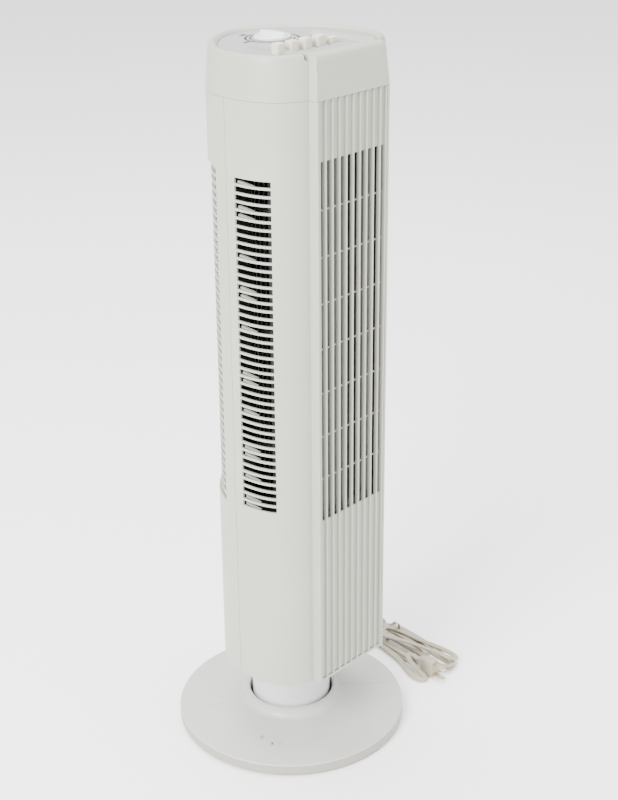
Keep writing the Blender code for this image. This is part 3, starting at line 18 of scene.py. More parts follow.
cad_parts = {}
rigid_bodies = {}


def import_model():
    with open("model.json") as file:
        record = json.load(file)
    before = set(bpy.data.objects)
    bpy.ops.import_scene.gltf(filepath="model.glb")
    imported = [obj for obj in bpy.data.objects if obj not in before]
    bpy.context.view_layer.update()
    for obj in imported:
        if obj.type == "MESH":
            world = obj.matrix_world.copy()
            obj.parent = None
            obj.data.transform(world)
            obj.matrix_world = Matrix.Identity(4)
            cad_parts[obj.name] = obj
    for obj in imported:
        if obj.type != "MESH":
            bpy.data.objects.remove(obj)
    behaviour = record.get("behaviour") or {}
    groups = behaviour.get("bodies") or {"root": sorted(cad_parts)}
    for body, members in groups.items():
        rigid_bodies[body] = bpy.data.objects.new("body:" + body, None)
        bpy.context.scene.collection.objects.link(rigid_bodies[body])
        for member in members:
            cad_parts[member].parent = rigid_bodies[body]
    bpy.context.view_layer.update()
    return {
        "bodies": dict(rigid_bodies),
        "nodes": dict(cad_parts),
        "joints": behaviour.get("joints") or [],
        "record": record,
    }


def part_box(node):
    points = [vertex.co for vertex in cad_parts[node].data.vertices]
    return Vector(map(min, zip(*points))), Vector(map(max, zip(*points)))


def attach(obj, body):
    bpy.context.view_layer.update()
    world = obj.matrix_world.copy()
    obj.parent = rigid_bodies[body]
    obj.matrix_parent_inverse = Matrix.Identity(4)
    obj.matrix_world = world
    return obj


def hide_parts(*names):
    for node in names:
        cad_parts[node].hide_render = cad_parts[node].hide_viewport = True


LOG = logging.getLogger("tower_fan")
MM = 0.001


class Slot(Enum):
    """Material slots of the record."""

    HOUSING = "housing"
    BASE = "base"
    NECK = "neck"
    PANEL = "panel"
    KNOB = "knob"
    BUTTON = "button"
    INNER = "inner"
    WHEEL = "wheel"
    STEEL = "steel"
    COPPER = "copper"
    RUBBER = "rubber"
    CORD = "cord"
    BRASS = "brass"


class Side(Enum):
    """Which side of the tower a wall is on, as the sign of its x."""

    LEFT = -1
    RIGHT = 1


# ---------------------------------------------------------------- surfaces

@dataclass
class Shape:
    """Points and faces of one mesh, gathered from one or more surfaces."""

    points: list[np.ndarray] = field(default_factory=list)
    faces: list[list[int]] = field(default_factory=list)
    count: int = 0

    def add(self, points: np.ndarray, faces: list[list[int]]) -> "Shape":
        """Adds a surface.

        Args:
            points: its corners, one row each.
            faces: its faces, as indices into those rows.

        Returns:
            This shape, so that calls can follow one another.
        """
        self.points.append(np.asarray(points, float))
        self.faces.extend([[i + self.count for i in face] for face in faces])
        self.count += len(points)
        return self

    def piece(self, name: str, angle: float = 35.0) -> bpy.types.Object:
        """Makes the object.

        Args:
            name: the piece's name.
            angle: edges sharper than this many degrees stay crisp.

        Returns:
            The new object, at the origin.
        """
        mesh = bpy.data.meshes.new(name)
        mesh.from_pydata(np.concatenate(self.points).tolist(), [], self.faces)
        mesh.validate()
        mesh.shade_smooth()
        mesh.set_sharp_from_angle(angle=math.radians(angle))
        made = bpy.data.objects.new(name, mesh)
        bpy.context.scene.collection.objects.link(made)
        return made


def grid_faces(rows: int, columns: int, wrap_rows: bool = False, wrap_columns: bool = False,
               keep: np.ndarray | None = None) -> list[list[int]]:
    """Quads over a grid of points stored row by row.

    Args:
        rows: number of rows.
        columns: points in each row.
        wrap_rows: whether the last row joins the first.
        wrap_columns: whether each row closes on itself.
        keep: true for each quad that is made, all of them if left out.

    Returns:
        The faces as lists of four indices.
    """
    row = np.arange(rows if wrap_rows else rows - 1)
    column = np.arange(columns if wrap_columns else columns - 1)
    a, b = np.meshgrid(row, column, indexing="ij")
    up, right = (a + 1) % rows, (b + 1) % columns
    quads = np.stack([a * columns + b, a * columns + right, up * columns + right, up * columns + b], -1)
    return quads[keep].tolist() if keep is not None else quads.reshape(-1, 4).tolist()


def revolved(profile: np.ndarray, segments: int, centre: tuple[float, float] = (0.0, 0.0), start: float = 0.0,
             sweep: float = 2 * math.pi) -> tuple[np.ndarray, list[list[int]]]:
    """A closed profile turned about a vertical axis: x = cx + r cos a, y = cy + r sin a, z from the profile.

    Args:
        profile: rows of radius and height, anticlockwise in the (radius, height) plane.
        segments: steps round the turn.
        centre: where the axis stands.
        start: first angle in radians.
        sweep: how far it turns, in radians.

    Returns:
        Points and faces; a part turn is closed with its two end faces.
    """
    full = abs(sweep - 2 * math.pi) < 1e-9
    angles = start + sweep * np.arange(segments if full else segments + 1) / segments
    radius, height = profile[:, 0], profile[:, 1]
    x = centre[0] + np.cos(angles)[:, None] * radius
    y = centre[1] + np.sin(angles)[:, None] * radius
    points = np.stack([x, y, np.broadcast_to(height, x.shape)], -1).reshape(-1, 3)
    count = len(profile)
    faces = [face[::-1] for face in grid_faces(len(angles), count, wrap_rows=full, wrap_columns=True)]
    faces = [face[::-1] for face in faces] if signed_area(profile) < 0 else faces
    if not full:
        last = (len(angles) - 1) * count
        faces += [list(range(count)), list(range(last, last + count))[::-1]]
    return points, faces


def signed_area(outline: np.ndarray) -> float:
    """Area of a closed outline, positive when it runs anticlockwise: half the sum of x dy - y dx."""
    after = np.roll(outline, -1, axis=0)
    return float((outline[:, 0] * after[:, 1] - after[:, 0] * outline[:, 1]).sum() / 2)


def at_height(outline: np.ndarray, z: float) -> np.ndarray:
    """A flat outline's points at height z."""
    return np.column_stack([outline, np.full(len(outline), z)])


def turned(points: np.ndarray, angle: float) -> np.ndarray:
    """Rows of x and y turned about the origin: x cos a - y sin a, x sin a + y cos a."""
    cos, sin = math.cos(angle), math.sin(angle)
    return np.column_stack([points[:, 0] * cos - points[:, 1] * sin, points[:, 0] * sin + points[:, 1] * cos])


def circle(count: int) -> np.ndarray:
    """Even points round a circle of radius one: cos a, sin a, anticlockwise."""
    angle = 2 * math.pi * np.arange(count) / count
    return np.column_stack([np.cos(angle), np.sin(angle)])


def node_middle(name: str) -> tuple[float, float]:
    """Middle of a CAD node's box, seen from above."""
    low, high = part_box(name)
    return (low.x + high.x) / 2, (low.y + high.y) / 2


def lofted(rings: np.ndarray, caps: bool = True) -> tuple[np.ndarray, list[list[int]]]:
    """Closed rings of points joined one to the next; rings run anticlockwise and rise.

    Args:
        rings: array of ring, point, coordinate.
        caps: whether the first and last ring are closed with one face each.

    Returns:
        Points and faces.
    """
    levels, count = rings.shape[:2]
    faces = grid_faces(levels, count, wrap_columns=True)
    if caps:
        top = (levels - 1) * count
        faces += [list(range(count))[::-1], list(range(top, top + count))]
    return rings.reshape(-1, 3), faces


def stacked(outline: np.ndarray, heights: list[float]) -> tuple[np.ndarray, list[list[int]]]:
    """A flat outline carried straight up through the given heights, with closed ends.

    Args:
        outline: rows of x and y, either way round.
        heights: rising heights.

    Returns:
        Points and faces.
    """
    outline = outline if signed_area(outline) > 0 else outline[::-1]
    return lofted(np.stack([at_height(outline, z) for z in heights]))


def blocks(lows: np.ndarray, highs: np.ndarray) -> tuple[np.ndarray, list[list[int]]]:
    """Separate boxes, each from its low corner to its high corner.

    Args:
        lows: low corners, one row each.
        highs: high corners, row for row.

    Returns:
        Points and faces of all the boxes.
    """
    unit = np.array([[x, y, z] for z in (0, 1) for x, y in ((0, 0), (1, 0), (1, 1), (0, 1))], float)
    points = lows[:, None, :] + unit[None] * (highs - lows)[:, None, :]
    six = [[3, 2, 1, 0], [4, 5, 6, 7], [0, 1, 5, 4], [1, 2, 6, 5], [2, 3, 7, 6], [3, 0, 4, 7]]
    faces = (np.array(six)[None] + 8 * np.arange(len(lows))[:, None, None]).reshape(-1, 4).tolist()
    return points.reshape(-1, 3), faces


def carried(path: np.ndarray, section: np.ndarray, twist: np.ndarray,
            scale: np.ndarray | None = None) -> tuple[np.ndarray, list[list[int]]]:
    """A closed section carried along a path: each ring is path + u * side + v * up.

    The sideways and upward directions are turned by the twist about the path's own direction.

    Args:
        path: points of the centreline.
        section: rows of u (sideways) and v (upwards), anticlockwise seen from ahead.
        twist: turn of each ring, in radians.
        scale: size of each ring, one if left out.

    Returns:
        Points and faces, with closed ends.
    """
    along = np.gradient(path, axis=0)
    along /= np.linalg.norm(along, axis=1, keepdims=True)
    side = np.cross(along, [0.0, 0.0, 1.0])
    side /= np.maximum(np.linalg.norm(side, axis=1, keepdims=True), 1e-9)
    up = np.cross(side, along)
    cos, sin = np.cos(twist)[:, None], np.sin(twist)[:, None]
    wide, tall = side * cos + up * sin, up * cos - side * sin
    size = np.ones(len(path)) if scale is None else scale
    rings = (path[:, None] + size[:, None, None] * (section[None, :, :1] * wide[:, None]
                                                    + section[None, :, 1:] * tall[:, None]))
    count = len(section)
    faces = [face[::-1] for face in grid_faces(len(path), count, wrap_columns=True)]
    last = (len(path) - 1) * count
    faces += [list(range(count)), list(range(last, last + count))[::-1]]
    return rings.reshape(-1, 3), [face[::-1] for face in faces]


def smooth_line(points: np.ndarray, spacing: float) -> np.ndarray:
    """Even points along a Catmull-Rom curve: each span blends its four nearest points with cubic weights.

    Args:
        points: the route's own points.
        spacing: distance between the points that come back.

    Returns:
        The dense line.
    """
    ends = np.vstack([2 * points[0] - points[1], points, 2 * points[-1] - points[-2]])
    t = np.linspace(0, 1, 24, endpoint=False)[:, None, None]
    before, here, after, beyond = (ends[i:len(ends) - 3 + i][None] for i in range(4))
    line = 0.5 * (2 * here + (after - before) * t + (2 * before - 5 * here + 4 * after - beyond) * t ** 2
                  + (3 * here - before - 3 * after + beyond) * t ** 3)
    line = np.vstack([line.transpose(1, 0, 2).reshape(-1, points.shape[1]), points[-1]])
    run = np.r_[0, np.cumsum(np.linalg.norm(np.diff(line, axis=0), axis=1))]
    even = np.linspace(0, run[-1], max(int(run[-1] / spacing), 2) + 1)
    return np.column_stack([np.interp(even, run, line[:, i]) for i in range(points.shape[1])])


def resampled(line: np.ndarray, count: int) -> np.ndarray:
    """The same line with count points at even distances.

    Args:
        line: the line's points.
        count: how many points come back.

    Returns:
        The new points.
    """
    run = np.r_[0, np.cumsum(np.linalg.norm(np.diff(line, axis=0), axis=1))]
    even = np.linspace(0, run[-1], count)
    return np.column_stack([np.interp(even, run, line[:, i]) for i in range(line.shape[1])])


def rounded_box(centre: tuple[float, float], width: float, depth: float, radius: float,
                steps: int = 6) -> np.ndarray:
    """Outline of a rectangle with round corners, anticlockwise.

    Args:
        centre: the rectangle's middle.
        width: its full width.
        depth: its full depth.
        radius: the corners' radius.
        steps: steps round each corner.

    Returns:
        Rows of x and y.
    """
    turn = np.linspace(0, math.pi / 2, steps + 1)
    parts = []
    for index, (sx, sy) in enumerate(((1, 1), (-1, 1), (-1, -1), (1, -1))):
        angle = turn + index * math.pi / 2
        parts.append(np.column_stack([centre[0] + sx * (width / 2 - radius) + radius * np.cos(angle),
                                      centre[1] + sy * (depth / 2 - radius) + radius * np.sin(angle)]))
    return np.concatenate(parts)


def inset(outline: np.ndarray, distance: float | np.ndarray) -> np.ndarray:
    """A closed anticlockwise outline moved inwards, each corner along the mean of its two edges' normals.

    Args:
        outline: rows of x and y.
        distance: how far it moves, as one number or one for each point.

    Returns:
        The moved outline, point for point.
    """
    first = outline - np.roll(outline, 1, axis=0)
    second = np.roll(outline, -1, axis=0) - outline
    first /= np.linalg.norm(first, axis=1, keepdims=True)
    second /= np.linalg.norm(second, axis=1, keepdims=True)
    normal_a = np.column_stack([-first[:, 1], first[:, 0]])
    normal_b = np.column_stack([-second[:, 1], second[:, 0]])
    mitre = (normal_a + normal_b) / (1 + (normal_a * normal_b).sum(1, keepdims=True))
    return outline + mitre * (distance[:, None] if isinstance(distance, np.ndarray) else distance)


def thicken(made: bpy.types.Object, thickness: float, edge: float) -> bpy.types.Object:
    """Gives an open surface a wall inwards and softens its edges.

    Args:
        made: the open surface.
        thickness: the wall's thickness.
        edge: width of the softened edges.

    Returns:
        The same object.
    """
    wall = made.modifiers.new("wall", "SOLIDIFY")
    wall.thickness = thickness
    wall.offset = -1.0
    wall.use_even_offset = True
    return soften(made, edge)


def soften(made: bpy.types.Object, edge: float, segments: int = 2) -> bpy.types.Object:
    """Rounds the sharp edges of a piece.

    Args:
        made: the piece.
        edge: width of the rounding.
        segments: steps in the rounding.

    Returns:
        The same object.
    """
    bevel = made.modifiers.new("soft_edges", "BEVEL")
    bevel.width = edge
    bevel.segments = segments
    bevel.limit_method = "ANGLE"
    bevel.angle_limit = math.radians(40)
    bevel.harden_normals = True
    return made


def settle(made: bpy.types.Object) -> bpy.types.Object:
    """Makes the modifiers' result the piece's own mesh.

    Args:
        made: the piece.

    Returns:
        The same object, without modifiers.
    """
    evaluated = made.evaluated_get(bpy.context.evaluated_depsgraph_get())
    mesh = bpy.data.meshes.new_from_object(evaluated)
    made.modifiers.clear()
    made.data = mesh
    return made


def cut_away(made: bpy.types.Object, tool: bpy.types.Object) -> bpy.types.Object:
    """Cuts the tool's shape from the piece and removes the tool.

    Args:
        made: the piece.
        tool: the shape that is cut out.

    Returns:
        The same object.
    """
    modifier = made.modifiers.new("cut", "BOOLEAN")
    modifier.operation = "DIFFERENCE"
    modifier.solver = "EXACT"
    modifier.object = tool
    settle(made)
    bpy.data.objects.remove(tool)
    made.data.set_sharp_from_angle(angle=math.radians(35))
    return made


# ---------------------------------------------------------------- finishes

class Nodes:
    """Short calls for building a node tree."""

    def __init__(self, tree: bpy.types.NodeTree) -> None:
        """Keeps the tree that the calls add to."""
        self.tree = tree

    def add(self, kind: str, **settings: object) -> bpy.types.Node:
        """Adds a node.

        Args:
            kind: the node's type without its "ShaderNode" prefix.
            settings: attributes to set on it.

        Returns:
            The node.
        """
        node = self.tree.nodes.new("ShaderNode" + kind)
        for name, value in settings.items():
            setattr(node, name, value)
        return node

    def link(self, source: bpy.types.NodeSocket, target: bpy.types.NodeSocket) -> None:
        """Joins two sockets."""
        self.tree.links.new(source, target)

    def math(self, operation: str, a: object, b: object = 0.0, clamp: bool = False) -> bpy.types.NodeSocket:
        """One arithmetic step on numbers or sockets; gives its output socket.

        Args:
            operation: the step's name.
            a: first number or socket.
            b: second number or socket.
            clamp: whether the result is held between 0 and 1.

        Returns:
            The output socket.
        """
        node = self.add("Math", operation=operation, use_clamp=clamp)
        for index, value in enumerate((a, b)):
            if isinstance(value, bpy.types.NodeSocket):
                self.link(value, node.inputs[index])
            else:
                node.inputs[index].default_value = value
        return node.outputs[0]

    def spread(self, value: bpy.types.NodeSocket, low: float, high: float, to_low: float,
               to_high: float) -> bpy.types.NodeSocket:
        """Maps a value from one range to another, held at the ends; gives its output socket.

        Args:
            value: the socket to map.
            low: where its range starts.
            high: where its range ends.
            to_low: what the start becomes.
            to_high: what the end becomes.

        Returns:
            The output socket.
        """
        node = self.add("MapRange")
        self.link(value, node.inputs["Value"])
        for name, number in (("From Min", low), ("From Max", high), ("To Min", to_low), ("To Max", to_high)):
            node.inputs[name].default_value = number
        return node.outputs["Result"]

    def noise(self, vector: bpy.types.NodeSocket, scale: float, detail: float = 3.0) -> bpy.types.NodeSocket:
        """A noise texture's value.

        Args:
            vector: where the noise is read.
            scale: how fine it is.
            detail: how many octaves it has.

        Returns:
            The output socket.
        """
        node = self.add("TexNoise")
        self.link(vector, node.inputs["Vector"])
        node.inputs["Scale"].default_value = scale
        node.inputs["Detail"].default_value = detail
        return node.outputs["Fac"]

    def mix(self, share: object, first: object, second: object) -> bpy.types.NodeSocket:
        """Mixes two colours by a share; gives the colour's socket.

        Args:
            share: how much of the second colour, as a number or a socket.
            first: first colour or socket.
            second: second colour or socket.

        Returns:
            The colour's socket.
        """
        node = self.add("Mix", data_type="RGBA")
        for index, value in ((0, share), (6, first), (7, second)):
            if isinstance(value, bpy.types.NodeSocket):
                self.link(value, node.inputs[index])
            elif index == 0:
                node.inputs[index].default_value = value
            else:
                node.inputs[index].default_value = (*value, 1.0)
        return node.outputs[2]


def new_group(name: str, inputs: dict[str, str], outputs: dict[str, str]) -> tuple[Nodes, dict, dict]:
    """Starts a shader node group.

    Args:
        name: the group's name.
        inputs: socket names and types going in.
        outputs: socket names and types coming out.

    Returns:
        The tree's helper, the input sockets by name and the output sockets by name.
    """
    tree = bpy.data.node_groups.new(name, "ShaderNodeTree")
    for label, kind in inputs.items():
        tree.interface.new_socket(label, in_out="INPUT", socket_type=kind)
    for label, kind in outputs.items():
        tree.interface.new_socket(label, in_out="OUTPUT", socket_type=kind)
    nodes = Nodes(tree)
    enter = tree.nodes.new("NodeGroupInput")
    leave = tree.nodes.new("NodeGroupOutput")
    return nodes, {k: enter.outputs[k] for k in inputs}, {k: leave.inputs[k] for k in outputs}


class Effects:
    """Shader node groups that several finishes share."""

    def __init__(self) -> None:
        """Builds the groups once."""
        self.grain = self._grain()
        self.dust = self._dust()

    @staticmethod
    def _grain() -> bpy.types.NodeTree:
        """Moulded texture: a fine noise for height and a broad one for mottling, on a scaled coordinate.

        Returns:
            The group, with Vector and Scale in, Height and Mottle out.
        """
        nodes, enter, leave = new_group(
            "moulded_grain", {"Vector": "NodeSocketVector", "Scale": "NodeSocketFloat"},
            {"Height": "NodeSocketFloat", "Mottle": "NodeSocketFloat"})
        scaled = nodes.add("VectorMath", operation="SCALE")
        nodes.link(enter["Vector"], scaled.inputs[0])
        nodes.link(enter["Scale"], scaled.inputs["Scale"])
        fine = nodes.noise(scaled.outputs[0], 1.0, 2.0)
        waves = nodes.noise(enter["Vector"], 14.0, 2.0)
        nodes.link(nodes.math("ADD", fine, nodes.math("MULTIPLY", waves, 0.6)), leave["Height"])
        nodes.link(nodes.noise(enter["Vector"], 9.0, 5.0), leave["Mottle"])
        return nodes.tree

    @staticmethod
    def _dust() -> bpy.types.NodeTree:
        """Dust mask: how far the surface faces up, times a patchy noise, times the amount.

        Returns:
            The group, with Vector and Amount in, Mask out.
        """
        nodes, enter, leave = new_group(
            "settled_dust", {"Vector": "NodeSocketVector", "Amount": "NodeSocketFloat"},
            {"Mask": "NodeSocketFloat"})
        facing = nodes.add("NewGeometry")
        parts = nodes.add("SeparateXYZ")
        nodes.link(facing.outputs["Normal"], parts.inputs[0])
        up = nodes.spread(parts.outputs["Z"], 0.2, 1.0, 0.15, 1.0)
        patchy = nodes.spread(nodes.noise(enter["Vector"], 38.0, 6.0), 0.42, 0.72, 0.0, 1.0)
        nodes.link(nodes.math("MULTIPLY", nodes.math("MULTIPLY", up, patchy), enter["Amount"], True),
                   leave["Mask"])
        return nodes.tree


@dataclass(frozen=True)
class PaintedShadowSpot:
    """A spot of painted shadow: where it is, how far it reaches and how dark it is."""

    place: tuple[float, float, float]
    reach: float
    colour: tuple[float, float, float]


@dataclass(frozen=True)
class Finish:
    """A surface finish: colours, gloss, moulded grain and settled dust.

    The grain is a scale, its depth the bump's strength and its relief the bump's height. The low painted
    shade is a darker, warmer colour painted on what lies below low_z, fading out over low_fade.
    """

    name: str
    colour: tuple[float, float, float]
    tint: tuple[float, float, float]
    roughness: float = 0.45
    spread: float = 0.08
    grain: float = 900.0
    depth: float = 0.05
    metallic: float = 0.0
    dust: float = 0.15
    dust_colour: tuple[float, float, float] = (0.36, 0.33, 0.28)
    specular: float = 0.5
    coat: float = 0.0
    stretch: tuple[float, float, float] = (1.0, 1.0, 1.0)
    shadow_spots: tuple[PaintedShadowSpot, ...] = ()
    low_painted_shade: tuple[float, float, float] | None = None
    low_z: float = 0.0
    low_fade: float = 0.8 * MM
    relief: float = 0.4 * MM

    def build(self, effects: Effects) -> bpy.types.Material:
        """Makes the material.

        Args:
            effects: the shared node groups.

        Returns:
            A Principled material driven by the grain and dust groups.
        """
        material = bpy.data.materials.new(self.name)
        material.use_nodes = True
        nodes = Nodes(material.node_tree)
        shader = material.node_tree.nodes["Principled BSDF"]
        where = nodes.add("TexCoord").outputs["Object"]
        stretched = nodes.add("Mapping")
        stretched.inputs["Scale"].default_value = self.stretch
        nodes.link(where, stretched.inputs["Vector"])
        grain = nodes.add("Group", node_tree=effects.grain)
        nodes.link(stretched.outputs[0], grain.inputs["Vector"])
        grain.inputs["Scale"].default_value = self.grain
        dust = nodes.add("Group", node_tree=effects.dust)
        nodes.link(where, dust.inputs["Vector"])
        dust.inputs["Amount"].default_value = self.dust
        mottle = nodes.spread(grain.outputs["Mottle"], 0.3, 0.7, 0.0, 1.0)
        colour = nodes.mix(mottle, self.colour, self.tint)
        colour = nodes.mix(dust.outputs["Mask"], colour, self.dust_colour)
        # Painted shade: what lies below low_z takes a darker colour.
        if self.low_painted_shade:
            parts = nodes.add("SeparateXYZ")
            nodes.link(where, parts.inputs[0])
            low = nodes.spread(parts.outputs["Z"], self.low_z, self.low_z + self.low_fade, 1.0, 0.0)
            colour = nodes.mix(low, colour, self.low_painted_shade)
        # Painted shadow spots darken the colour under the body's overhang.
        for shadow_spot in self.shadow_spots:
            colour = nodes.mix(self._painted_shadow_mask(nodes, where, shadow_spot), colour, shadow_spot.colour)
        nodes.link(colour, shader.inputs["Base Color"])
        rough = nodes.spread(grain.outputs["Mottle"], 0.25, 0.75, self.roughness - self.spread,
                             self.roughness + self.spread)
        nodes.link(nodes.math("ADD", rough, nodes.math("MULTIPLY", dust.outputs["Mask"], 0.3), True),
                   shader.inputs["Roughness"])
        bump = nodes.add("Bump")
        bump.inputs["Strength"].default_value = self.depth
        bump.inputs["Distance"].default_value = self.relief
        nodes.link(grain.outputs["Height"], bump.inputs["Height"])
        nodes.link(bump.outputs["Normal"], shader.inputs["Normal"])
        shader.inputs["Metallic"].default_value = self.metallic
        shader.inputs["Coat Weight"].default_value = self.coat
        shader.inputs["Specular IOR Level"].default_value = self.specular
        return material

    @staticmethod
    def _painted_shadow_mask(nodes: Nodes, where: bpy.types.NodeSocket, shadow_spot: PaintedShadowSpot) -> bpy.types.NodeSocket:
        """Mask of a painted shadow spot: nearness to its place times a streaky noise.

        Args:
            nodes: helper of the material's tree.
            where: the Object coordinate.
            shadow_spot: the spot.

        Returns:
            The mask's socket.
        """
        distance = nodes.add("VectorMath", operation="DISTANCE")
        nodes.link(where, distance.inputs[0])
        distance.inputs[1].default_value = shadow_spot.place
        near = nodes.spread(distance.outputs["Value"], shadow_spot.reach * 0.35, shadow_spot.reach, 1.0, 0.0)
        streaks = nodes.spread(nodes.noise(where, 260.0, 4.0), 0.45, 0.62, 0.0, 1.0)
        return nodes.math("MULTIPLY", near, streaks, True)


# Dark streaky spots on the base's cone just inside the body's left-front edge: painted shadow under the
# body's overhang.
PAINTED_SHADOW_SPOTS = (
    PaintedShadowSpot((-0.0810, -0.0320, 0.0200), 0.0050, (0.25, 0.22, 0.19)),
    PaintedShadowSpot((-0.0810, -0.0480, 0.0195), 0.0040, (0.08, 0.07, 0.06)),
    PaintedShadowSpot((-0.0770, -0.0560, 0.0192), 0.0060, (0.30, 0.27, 0.23)),
    PaintedShadowSpot((-0.0750, -0.0660, 0.0188), 0.0065, (0.34, 0.31, 0.27)),
)

FINISHES = {
    Slot.HOUSING: Finish("housing_plastic", (0.325, 0.330, 0.282), (0.352, 0.357, 0.308), 0.42, 0.06, 1500.0,
                         0.10, dust=0.10),
    # The base's rim side, below 13.4 mm, is painted darker and warmer: painted shade.
    Slot.BASE: Finish("base_plastic", (0.415, 0.430, 0.400), (0.450, 0.462, 0.430), 0.40, 0.07, 1500.0,
                      0.10, dust=0.12, shadow_spots=PAINTED_SHADOW_SPOTS, low_painted_shade=(0.30, 0.28, 0.24), low_z=13.4 * MM),
    Slot.NECK: Finish("neck_gloss", (0.52, 0.52, 0.545), (0.57, 0.57, 0.585), 0.20, 0.06, 500.0, 0.04,
                      dust=0.05, coat=0.4),
    Slot.PANEL: Finish("panel_texture", (0.270, 0.288, 0.280), (0.300, 0.318, 0.306), 0.50, 0.06, 2600.0,
                       0.30, dust=0.15),
    Slot.KNOB: Finish("knob_gloss", (0.60, 0.60, 0.64), (0.66, 0.66, 0.69), 0.22, 0.05, 600.0, 0.03,
                      dust=0.04, coat=0.3),
    Slot.BUTTON: Finish("button_cream", (0.56, 0.53, 0.42), (0.61, 0.58, 0.47), 0.34, 0.05, 1200.0, 0.05,
                        dust=0.06),
    Slot.INNER: Finish("inner_black", (0.020, 0.020, 0.021), (0.032, 0.031, 0.030), 0.55, 0.1, 900.0, 0.15,
                       dust=0.3, dust_colour=(0.10, 0.095, 0.085)),
    Slot.WHEEL: Finish("wheel_black", (0.016, 0.016, 0.017), (0.026, 0.026, 0.026), 0.48, 0.1, 900.0, 0.10,
                       dust=0.25, dust_colour=(0.09, 0.085, 0.075)),
    Slot.STEEL: Finish("brushed_steel", (0.50, 0.50, 0.51), (0.60, 0.60, 0.61), 0.34, 0.12, 2200.0, 0.10,
                       metallic=1.0, dust=0.1, stretch=(1.0, 1.0, 12.0)),
    Slot.COPPER: Finish("stator_laminations", (0.30, 0.15, 0.08), (0.42, 0.22, 0.11), 0.45, 0.1, 1800.0, 0.3,
                        metallic=0.6, dust=0.2, stretch=(1.0, 1.0, 20.0)),
    Slot.RUBBER: Finish("rubber_black", (0.025, 0.025, 0.026), (0.040, 0.039, 0.038), 0.75, 0.08, 1500.0,
                        0.25, dust=0.3, dust_colour=(0.14, 0.13, 0.12)),
    Slot.CORD: Finish("cord_vinyl", (0.30, 0.262, 0.195), (0.37, 0.330, 0.258), 0.42, 0.08, 1100.0, 0.12,
                      dust=0.18, dust_colour=(0.30, 0.25, 0.19)),
    Slot.BRASS: Finish("plug_brass", (0.62, 0.54, 0.38), (0.70, 0.62, 0.46), 0.28, 0.08, 2500.0, 0.10,
                       metallic=1.0, dust=0.05, stretch=(1.0, 10.0, 1.0)),
}
# The vanes take the housing's slot. This darker copy of its colour is painted shade for their place deep
# behind the grille.
SHADED_VANE = Finish("vane_painted_shade", (0.120, 0.128, 0.108), (0.150, 0.158, 0.135), 0.5, 0.06, 1500.0, 0.10, dust=0.2)
PRINT = Finish("printed_ink", (0.015, 0.016, 0.018), (0.03, 0.031, 0.034), 0.6, 0.05, 1800.0, 0.05, dust=0.05,
               specular=0.05)


class Workshop:
    """Dresses pieces and fixes them to the frame."""

    def __init__(self) -> None:
        """Builds every material."""
        effects = Effects()
        self.materials = {slot: finish.build(effects) for slot, finish in FINISHES.items()}
        self.ink = PRINT.build(effects)
        # The vanes' darker grey is painted shade.
        self.vane = SHADED_VANE.build(effects)

    def fit(self, made: bpy.types.Object, slot: Slot, body: str, *nodes: str) -> bpy.types.Object:
        """Dresses a piece and lets it ride on a body.

        Args:
            made: the piece.
            slot: the record's slot whose finish it takes.
            body: the body that it moves with.
            nodes: CAD nodes that it stands for.

        Returns:
            The piece.
        """
        made.data.materials.clear()
        made.data.materials.append(self.materials[slot])
        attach(made, body)
        if nodes:
            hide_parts(*nodes)
        LOG.info("%s rides on %s", made.name, body)
        return made

    def print_on(self, made: bpy.types.Object, body: str) -> None:
        """Dresses a printed mark in ink and lets it ride on a body.

        Args:
            made: the mark.
            body: the body that it moves with.
        """
        made.data.materials.clear()
        made.data.materials.append(self.ink)
        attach(made, body)
        LOG.info("%s printed on %s", made.name, body)

    def dress_frame(self, frame: dict) -> None:
        """Gives every CAD node that still shows its slot's material.
        """
        slots = {entry["node"]: Slot(entry["material_slot"]) for entry in frame["record"]["subparts"]}
        for name, node in frame["nodes"].items():
            node.data.materials.clear()
            node.data.materials.append(self.materials[slots[name]])


# ---------------------------------------------------------------- the tower's plan

